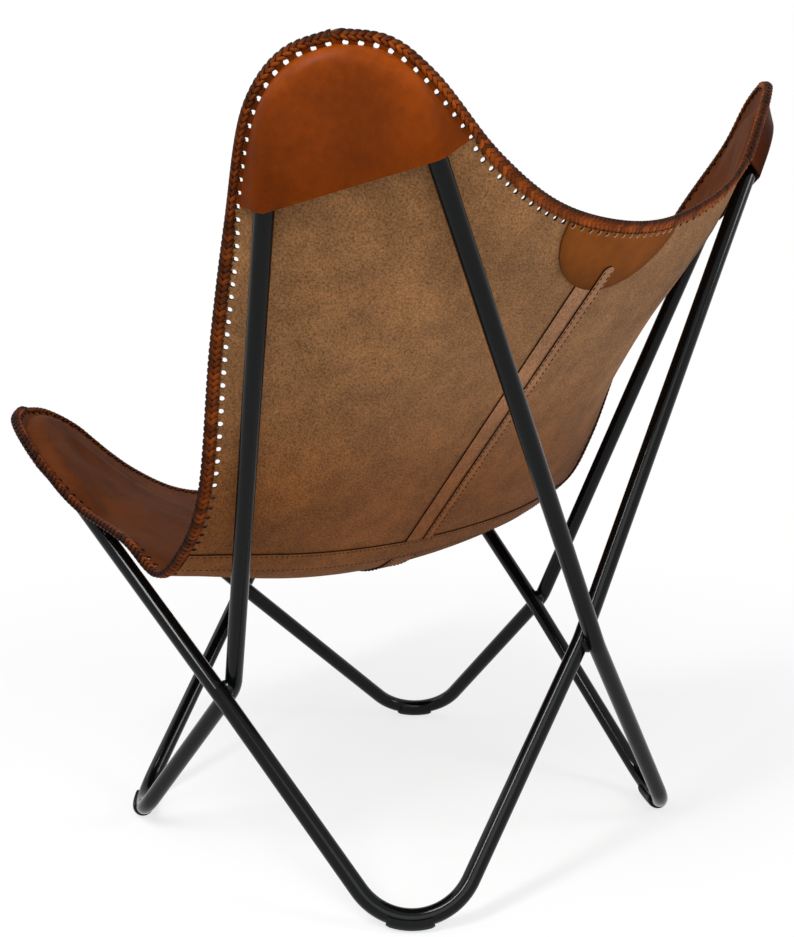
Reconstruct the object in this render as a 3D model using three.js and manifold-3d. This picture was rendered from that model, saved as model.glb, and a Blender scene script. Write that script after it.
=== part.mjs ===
// Butterfly sling chair: a welded frame of bent steel tube that carries a laced leather sling.
// Millimetres, +Z up, and the sitter looks towards -Y.
import * as THREE from 'three';
import { mergeVertices } from 'three/addons/utils/BufferGeometryUtils.js';
import Module from 'manifold-3d';

const wasm = await Module();
wasm.setup();

// Frame tube
const TUBE_DIAMETER = 20;
const BEND_RADIUS = 71;
const KNEE_RADIUS = 60;
const TUBE_SIDES = 12;
const BEND_STEPS = 12;
const KNEE_STEPS = 2;
const TUBE_END_GAP = 0.3;
const BEND_SAMPLES = 60;
const FOOT_ROUNDS = 12;

// Leg crossings: distance from the middle planes, and height above the floor
const SIDE_CROSSING_OUT = 283;
const SIDE_CROSSING_HEIGHT = 221;
const REAR_CROSSING_BACK = 295;
const REAR_CROSSING_HEIGHT = 276.5;
const FRONT_CROSSING_FORWARD = 311;
const FRONT_CROSSING_HEIGHT = 226.5;
const CROSSING_GAP = 1.2;

// Points where the two legs of a bend would meet if they ran on straight
const REAR_APEX_OUT = 447;
const REAR_APEX_BACK = 322;
const REAR_APEX_HEIGHT = 1105;
const FRONT_APEX_OUT = 341;
const FRONT_APEX_FORWARD = 409;
const FRONT_APEX_HEIGHT = 562;
const REAR_FOOT_OUT = 242;
const REAR_FOOT_BACK = 270;
const FRONT_FOOT_OUT = 278.5;
const FRONT_FOOT_FORWARD = 225;

// Weld beads and floor glides
const WELD_RADIUS = 11;
const WELD_THICKNESS = 13;
const GLIDE_WALL = 2.5;
const GLIDE_SPAN = 46;
const GLIDE_WRAP = 205;
const GLIDE_FLAT_DEPTH = 0.7;
const GLIDE_STEPS = 8;
const GLIDE_SIDES = 10;
const SEAT_CLEARANCE = 0.3;

// Sling leather
const SHEET = 3;
const POCKET_SHEET = 2.2;
const STRIP_SHEET = 1.8;
const HEM_WIDTH = 12;
const REAR_HEM_TO_TUBE = 4;
const REAR_HEM_INSET = 12;
const FRONT_HEM_TO_TUBE = 9;
const FRONT_HEM_INSET = -2;
const FRONT_HEM_TWIST = 16;
const REAR_STANDOFF = 2.4;
const FRONT_STANDOFF = 4.5;
const TUBE_EASE = 60;
const LACE_WALL = 1.8;

// Middle line of the sling: hem at the top of the back, seat corner, hem at the front of the seat
const BACK_TOP_BACK = 333;
const BACK_TOP_HEIGHT = 730;
const SEAT_CORNER_BACK = -8;
const SEAT_CORNER_HEIGHT = 301;
const SEAT_CORNER_RADIUS = 110;
const SLING_FLATNESS = 4;
const END_PULL = 4;
const SEAT_FRONT_FORWARD = 372;
const SEAT_FRONT_HEIGHT = 363;

// Hem line between the corners, as points out from the middle, back and up
const TOP_HEM = [
  [118, 327, 745],
  [218, 328, 789],
];
const SIDE_HEM = [
  [371, 148, 738],
  [350, 94, 618],
  [340, 53, 455],
  [329, 0, 387],
  [325, -52, 353],
  [326, -114, 381],
  [331, -205, 410],
];
const FRONT_HEM = [
  [70, -373, 375],
  [140, -379, 410],
  [196, -384, 452],
];

// Places on a tube loop, in degrees from its top, where the hem runs off towards the middle and the side
const HEM_MIDDLE_ANGLES = [58, 29];
const HEM_SIDE_ANGLES = [-30, -62];
const EDGE_SAMPLES = 40;

// How far the side hem runs ahead of the middle line, as a share of its length, where the lead is greatest
const SIDE_LEAD = 0.06;

// Pockets: the left rear one stands higher over its loop than the right one, as on the real chair
const REAR_LEFT_SLACK = 26;
const FRONT_SLACK = 7;
const POCKET_STANDOFF = 2.8;
const POCKET_MOUTH_EASE = 40;
const POCKET_ROUND_STEPS = 3;
const POCKET_BRIDGE_STEPS = 4;

// Seam strips and the half-round patch at the top of the back
const MIDDLE_STRIP_WIDTH = 45;
const MIDDLE_STRIP_OFFSET = 10;
const CROSS_STRIP_WIDTH = 34;
const SEAM_GAP = 0.4;
const PATCH_HALF_WIDTH = 98;
const PATCH_DEPTH = 75;
const PATCH_GAP = 0.6;
const PATCH_RINGS = 5;
const PATCH_SPOKES = 16;

// Grid lines of the sling, as shares of the half width and of the way from the top hem to the front
// hem. The pockets reach the first line of each corner list, and the cross seam has its own line.
const MIDDLE_LINES = [0, 0.14, 0.28, 0.42, 0.55];
const CORNER_LINES = [0.63, 0.71, 0.78, 0.84, 0.895, 0.94, 0.973, 1];
const REAR_POCKET_LINES = [0, 0.0075, 0.017, 0.039, 0.067, 0.099, 0.135, 0.173];
const BACK_LINES = [0.24, 0.315, 0.39, 0.44, 0.48, 0.512];
const CROSS_SEAM_LINE = 0.54;
const SEAT_LINES = [0.567, 0.59, 0.615, 0.65, 0.71, 0.77, 0.82];
const FRONT_POCKET_LINES = [0.865, 0.9, 0.93, 0.955, 0.972, 0.985, 0.9935, 1];
const ACROSS = [...MIDDLE_LINES, ...CORNER_LINES];
const ALONG_BACK = [...REAR_POCKET_LINES, ...BACK_LINES];
const ALONG = [...ALONG_BACK, CROSS_SEAM_LINE, ...SEAT_LINES, ...FRONT_POCKET_LINES];

// Colours
const BLACK_COAT = 0x1b1d1f;
const DARK_PLASTIC = 0x22252b;
const SUEDE_BROWN = 0x8a6645;
const COGNAC = 0xa85a22;
const LACE_BROWN = 0x7c3a1a;

const chair = new THREE.Group();
const tubeRadius = TUBE_DIAMETER / 2;
const standHeight = tubeRadius + GLIDE_WALL;
const vec = (x, y, z) => new THREE.Vector3(x, y, z);
const mirrored = (point) => vec(-point.x, point.y, point.z);

function addPiece(name, geometry, color, roughness, metalness) {
  const material = new THREE.MeshStandardMaterial({ color, roughness, metalness });
  const mesh = new THREE.Mesh(geometry, material);
  mesh.name = name;
  chair.add(mesh);
  return mesh;
}

// Solids for cutting and joining
function toSolid(geometry) {
  const bare = geometry.clone();
  bare.deleteAttribute('normal');
  bare.deleteAttribute('uv');
  const merged = mergeVertices(bare, 1e-4);
  const vertProperties = new Float32Array(merged.attributes.position.array);
  const triVerts = new Uint32Array(merged.index.array);
  return new wasm.Manifold(new wasm.Mesh({ numProp: 3, vertProperties, triVerts }));
}

function toGeometry(solid) {
  const mesh = solid.getMesh();
  const geometry = new THREE.BufferGeometry();
  geometry.setAttribute('position', new THREE.BufferAttribute(mesh.vertProperties.slice(), 3));
  geometry.setIndex(new THREE.BufferAttribute(mesh.triVerts.slice(), 1));
  geometry.computeVertexNormals();
  return geometry;
}

// A round bend between two straight runs that would meet at a corner
function makeBend(corner, before, after, radius) {
  const toBefore = before.clone().sub(corner).normalize();
  const toAfter = after.clone().sub(corner).normalize();
  const inward = toBefore.clone().add(toAfter).normalize();
  const halfAngle = toBefore.angleTo(inward);
  const centre = corner.clone().addScaledVector(inward, radius / Math.sin(halfAngle));
  const across = toAfter.clone().addScaledVector(inward, -toAfter.dot(inward)).normalize();
  const sweep = Math.PI / 2 - halfAngle;
  const at = (angle, reach = radius) => centre.clone()
    .addScaledVector(inward, -Math.cos(angle) * reach)
    .addScaledVector(across, Math.sin(angle) * reach);
  const heading = (angle) => inward.clone().multiplyScalar(Math.sin(angle))
    .addScaledVector(across, Math.cos(angle));
  return { centre, inward, across, sweep, at, heading };
}

// A path through given stations, so that long straight runs need no extra rings
class StationPath extends THREE.Curve {
  constructor(stations, headings) {
    super();
    this.stations = stations;
    this.headings = headings;
  }

  getPoint(t, target = new THREE.Vector3()) {
    const place = t * (this.stations.length - 1);
    const index = Math.min(Math.floor(place), this.stations.length - 2);
    return target.lerpVectors(this.stations[index], this.stations[index + 1], place - index);
  }

  getTangent(t, target = new THREE.Vector3()) {
    const last = this.stations.length - 1;
    const index = Math.round(t * last);
    if (index === 0 || index === last) {
      return target.copy(this.headings[index === 0 ? 0 : 1]);
    }
    const here = this.stations[index];
    const incoming = here.clone().sub(this.stations[index - 1]).normalize();
    const outgoing = this.stations[index + 1].clone().sub(here).normalize();
    return target.copy(incoming).add(outgoing).normalize();
  }

  getUtoTmapping(u) {
    return u;
  }
}

function sweepShape(shape, { stations, headings }) {
  const extrudePath = new StationPath(stations, headings);
  return new THREE.ExtrudeGeometry(shape, { steps: stations.length - 1, extrudePath, curveSegments: 1 });
}

function roundSection(radius, sides) {
  const corner = (index) => {
    const angle = ((index + 0.5) / sides) * 2 * Math.PI;
    return new THREE.Vector2(Math.cos(angle) * radius, Math.sin(angle) * radius);
  };
  return new THREE.Shape(Array.from({ length: sides }, (_, index) => corner(index)));
}

// Frame layout: two closed tube loops that cross at the sides, the rear and the front
const halfPitch = (TUBE_DIAMETER + CROSSING_GAP) / 2;
const sideInner = vec(SIDE_CROSSING_OUT - halfPitch, 0, SIDE_CROSSING_HEIGHT);
const sideOuter = vec(SIDE_CROSSING_OUT + halfPitch, 0, SIDE_CROSSING_HEIGHT);
const rearInner = vec(0, REAR_CROSSING_BACK - halfPitch, REAR_CROSSING_HEIGHT);
const rearOuter = vec(0, REAR_CROSSING_BACK + halfPitch, REAR_CROSSING_HEIGHT);
const frontInner = vec(0, -FRONT_CROSSING_FORWARD + halfPitch, FRONT_CROSSING_HEIGHT);
const frontOuter = vec(0, -FRONT_CROSSING_FORWARD - halfPitch, FRONT_CROSSING_HEIGHT);
const rearApex = vec(REAR_APEX_OUT, REAR_APEX_BACK, REAR_APEX_HEIGHT);
const frontApex = vec(FRONT_APEX_OUT, -FRONT_APEX_FORWARD, FRONT_APEX_HEIGHT);

function lowestOfBend(bend) {
  const points = Array.from(
    { length: BEND_SAMPLES + 1 },
    (_, step) => bend.at((2 * step / BEND_SAMPLES - 1) * bend.sweep),
  );
  return points.reduce((low, point) => (point.z < low.z ? point : low));
}

// The foot corner is lowered until the bend's lowest point stands at the height of the glide
function footCorner(out, back, before, after) {
  const corner = vec(out, back, 0);
  for (let round = 0; round < FOOT_ROUNDS; round += 1) {
    const low = lowestOfBend(makeBend(corner, before, after, BEND_RADIUS));
    corner.z += standHeight - low.z;
  }
  return corner;
}

const rearOwnFoot = footCorner(REAR_FOOT_OUT, REAR_FOOT_BACK, sideOuter, rearInner);
const rearCrossFoot = footCorner(REAR_FOOT_OUT, REAR_FOOT_BACK, sideInner, rearOuter);
const frontOwnFoot = footCorner(FRONT_FOOT_OUT, -FRONT_FOOT_FORWARD, sideInner, frontOuter);
const frontCrossFoot = footCorner(FRONT_FOOT_OUT, -FRONT_FOOT_FORWARD, sideOuter, frontInner);

// Each tube: its corner, the crossings where its two legs end, and where the loop goes on past them
const rearLeftApex = mirrored(rearApex);
const frontLeftApex = mirrored(frontApex);
const rearLeftFoot = mirrored(rearCrossFoot);
const frontLeftFoot = mirrored(frontCrossFoot);
const leftInner = mirrored(sideInner);
const leftOuter = mirrored(sideOuter);
const TUBES = {
  rear_right_top_loop: [rearApex, sideInner, rearOuter, frontOwnFoot, rearLeftFoot],
  rear_left_top_loop: [rearLeftApex, leftOuter, rearInner, frontLeftFoot, rearOwnFoot],
  front_right_top_loop: [frontApex, sideOuter, frontInner, rearOwnFoot, frontLeftFoot],
  front_left_top_loop: [frontLeftApex, leftInner, frontOuter, rearLeftFoot, frontOwnFoot],
  rear_right_floor_bend: [rearOwnFoot, sideOuter, rearInner, frontApex, rearLeftApex],
  rear_left_floor_bend: [rearLeftFoot, leftInner, rearOuter, frontLeftApex, rearApex],
  front_right_floor_bend: [frontOwnFoot, sideInner, frontOuter, rearApex, frontLeftApex],
  front_left_floor_bend: [frontLeftFoot, leftOuter, frontInner, rearLeftApex, frontApex],
};

// Half of a leg's bend at its crossing, from the middle of the bend to the straight leg
function halfKnee(corner, beyond, along) {
  const bend = makeBend(corner, beyond, along, KNEE_RADIUS);
  const start = TUBE_END_GAP / 2 / KNEE_RADIUS;
  const angle = (step) => start + (step / KNEE_STEPS) * (bend.sweep - start);
  const stations = Array.from({ length: KNEE_STEPS + 1 }, (_, step) => bend.at(angle(step)));
  return { stations, heading: bend.heading(start) };
}

function tubePath([corner, firstKnee, secondKnee, beyondFirst, beyondSecond]) {
  const bend = makeBend(corner, firstKnee, secondKnee, BEND_RADIUS);
  const round = Array.from(
    { length: BEND_STEPS + 1 },
    (_, step) => bend.at((2 * step / BEND_STEPS - 1) * bend.sweep),
  );
  const first = halfKnee(firstKnee, beyondFirst, corner);
  const second = halfKnee(secondKnee, beyondSecond, corner);
  const stations = [...first.stations, ...round, ...second.stations.reverse()];
  return { stations, headings: [first.heading, second.heading.negate()] };
}

const tubePaths = {};
for (const [name, layout] of Object.entries(TUBES)) {
  tubePaths[name] = tubePath(layout);
  addPiece(name, sweepShape(roundSection(tubeRadius, TUBE_SIDES), tubePaths[name]), BLACK_COAT, 0.4, 0.5);
}

// A weld bead fills the notch where two tubes cross, and is cut clear of both
const weldCutter = roundSection(tubeRadius + SEAT_CLEARANCE, TUBE_SIDES * 2);
const WELDS = {
  right_weld: [sideInner, sideOuter, ['rear_right_top_loop', 'front_right_floor_bend'],
    ['front_right_top_loop', 'rear_right_floor_bend']],
  left_weld: [leftInner, leftOuter, ['front_left_top_loop', 'rear_left_floor_bend'],
    ['rear_left_top_loop', 'front_left_floor_bend']],
  rear_weld: [rearInner, rearOuter, ['rear_left_top_loop', 'rear_right_floor_bend'],
    ['rear_right_top_loop', 'rear_left_floor_bend']],
  front_weld: [frontInner, frontOuter, ['front_right_top_loop', 'front_left_floor_bend'],
    ['front_left_top_loop', 'front_right_floor_bend']],
};

function jointPath([upper, lower], crossing) {
  const ends = [upper, lower].map((name) => {
    const { stations } = tubePaths[name];
    const fromStart = stations[0].distanceTo(crossing) < stations[stations.length - 1].distanceTo(crossing);
    return fromStart ? stations.slice(0, KNEE_STEPS + 2) : stations.slice(-KNEE_STEPS - 2).reverse();
  });
  const stations = [...ends[0].reverse(), ...ends[1].slice(1)];
  const last = stations.length - 1;
  const headings = [[0, 1], [last - 1, last]]
    .map(([from, to]) => stations[to].clone().sub(stations[from]).normalize());
  return { stations, headings };
}

for (const [name, [inner, outer, innerTubes, outerTubes]] of Object.entries(WELDS)) {
  const middle = inner.clone().add(outer).multiplyScalar(0.5);
  const bead = new THREE.IcosahedronGeometry(WELD_RADIUS, 3);
  bead.scale(1, 1, WELD_THICKNESS / 2 / WELD_RADIUS);
  const through = outer.clone().sub(inner).normalize();
  bead.applyQuaternion(new THREE.Quaternion().setFromUnitVectors(vec(0, 0, 1), through));
  bead.translate(middle.x, middle.y, middle.z);
  const innerTube = toSolid(sweepShape(weldCutter, jointPath(innerTubes, inner)));
  const outerTube = toSolid(sweepShape(weldCutter, jointPath(outerTubes, outer)));
  const lobes = toSolid(bead).subtract(innerTube).subtract(outerTube).decompose();
  const largest = lobes.reduce((best, lobe) => (lobe.volume() > best.volume() ? lobe : best));
  addPiece(name, toGeometry(largest), BLACK_COAT, 0.5, 0.5);
}

// A glide clips round the lowest stretch of a floor bend and is cut flat where it stands
function glideSection() {
  const inner = tubeRadius + SEAT_CLEARANCE;
  const outer = standHeight + GLIDE_FLAT_DEPTH;
  const half = THREE.MathUtils.degToRad(GLIDE_WRAP / 2);
  const ring = (radius) => Array.from({ length: GLIDE_SIDES + 1 }, (_, index) => {
    const angle = (index / GLIDE_SIDES * 2 - 1) * half;
    return new THREE.Vector2(Math.sin(angle) * radius, -Math.cos(angle) * radius);
  });
  return [...ring(outer), ...ring(inner).reverse()];
}

// A solid from rings of one closed section, capped at both ends. Seen along the rings' travel,
// each ring runs clockwise.
function loftSection(rings, section) {
  const count = section.length;
  const last = (rings.length - 1) * count;
  const index = [];
  for (let start = 0; start < last; start += count) {
    for (let side = 0; side < count; side += 1) {
      const a = start + side;
      const b = start + (side + 1) % count;
      index.push(a, b + count, b, a, a + count, b + count);
    }
  }
  const turned = THREE.ShapeUtils.isClockWise(section);
  for (const [a, b, c] of THREE.ShapeUtils.triangulateShape(section, [])) {
    const [second, third] = turned ? [c, b] : [b, c];
    index.push(a, second, third, last + a, last + third, last + second);
  }
  const geometry = new THREE.BufferGeometry();
  const positions = rings.flat().flatMap((point) => point.toArray());
  geometry.setAttribute('position', new THREE.Float32BufferAttribute(positions, 3));
  geometry.setIndex(index);
  return geometry;
}

const floorCutter = new THREE.BoxGeometry(4 * SIDE_CROSSING_OUT, 4 * REAR_CROSSING_BACK, TUBE_DIAMETER);
floorCutter.translate(0, 0, -TUBE_DIAMETER / 2);
const floorSolid = toSolid(floorCutter);

for (const [tubeName, layout] of Object.entries(TUBES).filter(([name]) => name.includes('floor'))) {
  const bend = makeBend(layout[0], layout[1], layout[2], BEND_RADIUS);
  const low = lowestOfBend(bend);
  const fromCentre = low.clone().sub(bend.centre);
  const lowAngle = Math.atan2(fromCentre.dot(bend.across), -fromCentre.dot(bend.inward));
  const section = glideSection();
  const rings = Array.from({ length: GLIDE_STEPS + 1 }, (_, step) => {
    const angle = lowAngle + (step / GLIDE_STEPS - 0.5) * GLIDE_SPAN / BEND_RADIUS;
    const centre = bend.at(angle);
    const along = bend.at(angle + 0.01).sub(bend.at(angle - 0.01)).normalize();
    const up = vec(0, 0, 1).addScaledVector(along, -along.z).normalize();
    const side = along.clone().cross(up);
    return section.map((point) => centre.clone()
      .addScaledVector(side, point.x)
      .addScaledVector(up, point.y));
  });
  const clip = toSolid(loftSection(rings, section)).subtract(floorSolid);
  addPiece(tubeName.replace('floor_bend', 'glide'), toGeometry(clip), DARK_PLASTIC, 0.6, 0);
}

// Sling corners follow the tube loops, with the hem a little outside the tube
function loopFrame(layout, { towardsSitter, hemToTube, hemInset, hemTwist }) {
  const bend = makeBend(layout[0], layout[1], layout[2], BEND_RADIUS);
  const normal = bend.across.clone().cross(bend.inward).normalize();
  if (normal.dot(towardsSitter) < 0) {
    normal.negate();
  }
  const hemReach = BEND_RADIUS + tubeRadius + hemToTube;
  const hem = (degrees, slack) => {
    const angle = THREE.MathUtils.degToRad(degrees);
    return bend.at(angle, hemReach)
      .addScaledVector(bend.inward, -slack * Math.cos(angle))
      .addScaledVector(normal, hemInset + hemTwist * Math.max(Math.sin(angle), 0));
  };
  return { ...bend, normal, hem };
}

const asPoints = (rows) => rows.map(([out, back, up]) => vec(out, back, up));

// The four edges of the right half: middle line, top hem, side hem and front hem
const topMiddle = vec(0, BACK_TOP_BACK, BACK_TOP_HEIGHT);
const seatCorner = vec(0, SEAT_CORNER_BACK, SEAT_CORNER_HEIGHT);
const frontMiddle = vec(0, -SEAT_FRONT_FORWARD, SEAT_FRONT_HEIGHT);
const seatBend = makeBend(seatCorner, topMiddle, frontMiddle, SEAT_CORNER_RADIUS);
const middleLine = new THREE.CurvePath();
const seatArc = Array.from(
  { length: BEND_SAMPLES + 1 },
  (_, step) => seatBend.at((2 * step / BEND_SAMPLES - 1) * seatBend.sweep),
);
const middlePoints = [topMiddle, ...seatArc, frontMiddle];
for (let index = 0; index < middlePoints.length - 1; index += 1) {
  middleLine.add(new THREE.LineCurve3(middlePoints[index], middlePoints[index + 1]));
}

// A smooth half edge leaves the middle plane square to it
function edgeCurve(points) {
  const start = points[0];
  const isMiddle = Math.abs(start.x) < 1e-6;
  const through = isMiddle ? [mirrored(points[1]), ...points] : points;
  const curve = new THREE.CatmullRomCurve3(through, false, 'centripetal');
  const samples = curve.getPoints(EDGE_SAMPLES * (through.length - 1)).slice(isMiddle ? EDGE_SAMPLES : 0);
  const path = new THREE.CurvePath();
  for (let index = 0; index < samples.length - 1; index += 1) {
    path.add(new THREE.LineCurve3(samples[index], samples[index + 1]));
  }
  return path;
}

function hemCurves(rearLoop, frontLoop, slack) {
  const rear = (degrees) => rearLoop.hem(degrees, slack);
  const front = (degrees) => frontLoop.hem(degrees, FRONT_SLACK);
  const rearTip = rear(0);
  const frontTip = front(0);
  const topHem = [topMiddle, ...asPoints(TOP_HEM), ...HEM_MIDDLE_ANGLES.map(rear), rearTip];
  const sideHem = [
    rearTip, ...HEM_SIDE_ANGLES.map(rear), ...asPoints(SIDE_HEM),
    ...HEM_SIDE_ANGLES.map(front).reverse(), frontTip,
  ];
  const frontHem = [frontMiddle, ...asPoints(FRONT_HEM), ...HEM_MIDDLE_ANGLES.map(front), frontTip];
  return {
    rearTip, frontTip, top: edgeCurve(topHem), side: edgeCurve(sideHem), front: edgeCurve(frontHem),
  };
}

// A point of the right half: the side hem and middle line are blended across, and the top and
// front hems pull the ends into their own curves
function slingPoint(hems, across, along) {
  const middle = middleLine.getPointAt(along);
  const side = hems.side.getPointAt(along + SIDE_LEAD * Math.sin(Math.PI * along) ** 2);
  const top = hems.top.getPointAt(across);
  const front = hems.front.getPointAt(across);
  const rise = across ** SLING_FLATNESS;
  const blend = { x: across, y: rise, z: rise };
  const topPull = (1 - along) ** END_PULL;
  const frontPull = along ** END_PULL;
  const point = vec(0, 0, 0);
  for (const axis of ['x', 'y', 'z']) {
    const share = blend[axis];
    const mix = (a, b) => a[axis] + share * (b[axis] - a[axis]);
    const topOff = top[axis] - mix(topMiddle, hems.rearTip);
    const frontOff = front[axis] - mix(frontMiddle, hems.frontTip);
    point[axis] = mix(middle, side) + topPull * topOff + frontPull * frontOff;
  }
  return point;
}

// The sheet is kept clear of the tubes that it lies on: it eases back inside a loop and wraps round outside
function nearestOnTube(stations, point) {
  const runs = stations.slice(1).map((end, index) => new THREE.Line3(stations[index], end));
  const feet = runs.map((run) => run.closestPointToPoint(point, true, vec(0, 0, 0)));
  return feet.reduce((best, foot) => (foot.distanceTo(point) < best.distanceTo(point) ? foot : best));
}

function clearOfTubes(point, loops) {
  for (const { stations, normal, centre, standoff } of loops) {
    const sheetReach = tubeRadius + SHEET / 2 + standoff;
    const foot = nearestOnTube(stations, point);
    const offset = point.clone().sub(foot);
    const lift = offset.dot(normal);
    const beside = offset.addScaledVector(normal, -lift);
    const isInside = beside.dot(centre.clone().sub(foot)) > 0;
    const distance = beside.length();
    const ease = THREE.MathUtils.clamp((TUBE_EASE - distance) / (TUBE_EASE - sheetReach), 0, 1);
    const wrap = Math.sqrt(Math.max(1 - (distance / sheetReach) ** 2, 0));
    point.addScaledVector(normal, Math.max(sheetReach * (isInside ? ease : wrap) - lift, 0));
  }
  return point;
}

// The two halves hang on different tubes, so each is worked out by itself, as a right half
const REAR_CORNER = {
  towardsSitter: vec(-1, -1, 0),
  hemToTube: REAR_HEM_TO_TUBE,
  hemInset: REAR_HEM_INSET,
  hemTwist: 0,
  standoff: REAR_STANDOFF,
};
const FRONT_CORNER = {
  towardsSitter: vec(-1, 1, 1),
  hemToTube: FRONT_HEM_TO_TUBE,
  hemInset: FRONT_HEM_INSET,
  hemTwist: FRONT_HEM_TWIST,
  standoff: FRONT_STANDOFF,
};
const half = ACROSS.length - 1;
const columns = 2 * half + 1;
const rows = ALONG.length;
const seamRow = ALONG_BACK.length;

function slingHalf(rearName, frontName, side, slack) {
  const place = (point) => vec(side * point.x, point.y, point.z);
  const loopOf = (name, corner) => ({
    ...loopFrame(TUBES[name].map(place), corner),
    stations: tubePaths[name].stations.map(place),
    standoff: corner.standoff,
  });
  const loops = [loopOf(rearName, REAR_CORNER), loopOf(frontName, FRONT_CORNER)];
  const hems = hemCurves(...loops, slack);
  const points = ALONG.map((along) => ACROSS.map(
    (across) => place(clearOfTubes(slingPoint(hems, across, along), loops)),
  ));
  const outside = loops.map(({ normal }) => place(normal).negate());
  return { points, outside };
}

const rightHalf = slingHalf('rear_right_top_loop', 'front_right_top_loop', 1, 0);
const leftHalf = slingHalf('rear_left_top_loop', 'front_left_top_loop', -1, REAR_LEFT_SLACK);

// The whole sling as one grid of points; columns run from the left hem to the right hem
const grid = ALONG.map((_, row) => [...leftHalf.points[row].slice(1).reverse(), ...rightHalf.points[row]]);

function pointNormals(points, faces) {
  const geometry = new THREE.BufferGeometry();
  const positions = points.flatMap((point) => point.toArray());
  geometry.setAttribute('position', new THREE.Float32BufferAttribute(positions, 3));
  geometry.setIndex(faces.flat());
  geometry.computeVertexNormals();
  const { normal } = geometry.attributes;
  return points.map((_, index) => new THREE.Vector3().fromBufferAttribute(normal, index));
}

function gridFaces() {
  const faces = [];
  for (let row = 0; row < rows - 1; row += 1) {
    for (let column = 0; column < columns - 1; column += 1) {
      const a = row * columns + column;
      const b = a + columns;
      faces.push([a, b, b + 1], [a, b + 1, a + 1]);
    }
  }
  return faces;
}

const flatNormals = pointNormals(grid.flat(), gridFaces());
const normals = grid.map((_, row) => flatNormals.slice(row * columns, (row + 1) * columns));

// The hem: every point of the sling's edge with its outward direction, in order round the edge
const edgePlaces = [];
for (let column = 0; column < columns; column += 1) {
  edgePlaces.push([0, column]);
}
for (let row = 1; row < rows; row += 1) {
  edgePlaces.push([row, columns - 1]);
}
for (let column = columns - 2; column >= 0; column -= 1) {
  edgePlaces.push([rows - 1, column]);
}
for (let row = rows - 2; row > 0; row -= 1) {
  edgePlaces.push([row, 0]);
}

const hemOf = new Map();
edgePlaces.forEach(([row, column], index) => {
  const neighbour = (step) => {
    const [nearRow, nearColumn] = edgePlaces[(index + step + edgePlaces.length) % edgePlaces.length];
    return grid[nearRow][nearColumn];
  };
  const point = grid[row][column];
  const normal = normals[row][column];
  const along = neighbour(1).clone().sub(neighbour(-1)).normalize();
  const outward = normal.clone().cross(along).normalize();
  const square = along.clone().cross(outward).normalize();
  hemOf.set(`${row},${column}`, { point, outward, normal: square });
});

// A leather piece from a patch of points, faces and normals, with the given thickness
function thicken(points, directions, faces, halfThickness) {
  const count = points.length;
  const positions = [];
  for (const reach of [halfThickness, -halfThickness]) {
    points.forEach((point, index) => {
      positions.push(...point.clone().addScaledVector(directions[index], reach).toArray());
    });
  }
  const index = [];
  const open = new Map();
  for (const face of faces) {
    const [a, b, c] = face;
    index.push(a, b, c, a + count, c + count, b + count);
    for (const [from, to] of [[a, b], [b, c], [c, a]]) {
      if (!open.delete(`${to},${from}`)) {
        open.set(`${from},${to}`, [from, to]);
      }
    }
  }
  for (const [from, to] of open.values()) {
    index.push(from, from + count, to + count, from, to + count, to);
  }
  const geometry = new THREE.BufferGeometry();
  geometry.setAttribute('position', new THREE.Float32BufferAttribute(positions, 3));
  geometry.setIndex(index);
  return geometry;
}

// Sling panels: two for the back and two for the seat, sewn along the middle and the cross seam
function slingPanel([side, fromRow, toRow], hemWidth, thickness, seamGap) {
  const points = [];
  const directions = [];
  const faces = [];
  const known = new Map();
  const columnOf = (step) => (side > 0 ? half + step : half - step);
  const shifted = (row, step, moved) => {
    if (step === 0) {
      moved.x += side * seamGap / 2;
    }
    if (row === seamRow) {
      const inner = fromRow === seamRow ? row + 1 : row - 1;
      const into = grid[inner][columnOf(step)].clone().sub(grid[row][columnOf(step)]).normalize();
      moved.addScaledVector(into, seamGap / 2);
    }
    return moved;
  };
  const place = (row, step, onRim) => {
    const key = `${row},${step},${onRim}`;
    if (!known.has(key)) {
      const column = columnOf(step);
      const hem = hemOf.get(`${row},${column}`);
      const base = grid[row][column].clone();
      if (onRim) {
        base.addScaledVector(hem.outward, hemWidth);
      }
      known.set(key, points.length);
      points.push(shifted(row, step, base));
      directions.push(hem ? hem.normal : normals[row][column]);
    }
    return known.get(key);
  };
  const addQuad = (a, b, c, d) => {
    const order = side > 0 ? [[a, b, c], [a, c, d]] : [[a, c, b], [a, d, c]];
    faces.push(...order);
  };
  for (let row = fromRow; row < toRow; row += 1) {
    for (let step = 0; step < half; step += 1) {
      addQuad(
        place(row, step, false), place(row + 1, step, false),
        place(row + 1, step + 1, false), place(row, step + 1, false),
      );
    }
    addQuad(
      place(row, half, false), place(row + 1, half, false),
      place(row + 1, half, true), place(row, half, true),
    );
  }
  const endRow = fromRow === 0 ? 0 : toRow;
  for (let step = 0; step < half; step += 1) {
    const corners = [
      place(endRow, step, false), place(endRow, step + 1, false),
      place(endRow, step + 1, true), place(endRow, step, true),
    ];
    addQuad(...(endRow === 0 ? corners : corners.reverse()));
  }
  return thicken(points, directions, faces, thickness / 2);
}

const lastRow = rows - 1;
const lastColumn = columns - 1;
const PANELS = {
  right_back_panel: [1, 0, seamRow],
  left_back_panel: [-1, 0, seamRow],
  right_seat_panel: [1, seamRow, lastRow],
  left_seat_panel: [-1, seamRow, lastRow],
};
for (const [name, patch] of Object.entries(PANELS)) {
  addPiece(name, slingPanel(patch, HEM_WIDTH, SHEET, SEAM_GAP), SUEDE_BROWN, 0.9, 0);
}

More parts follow.
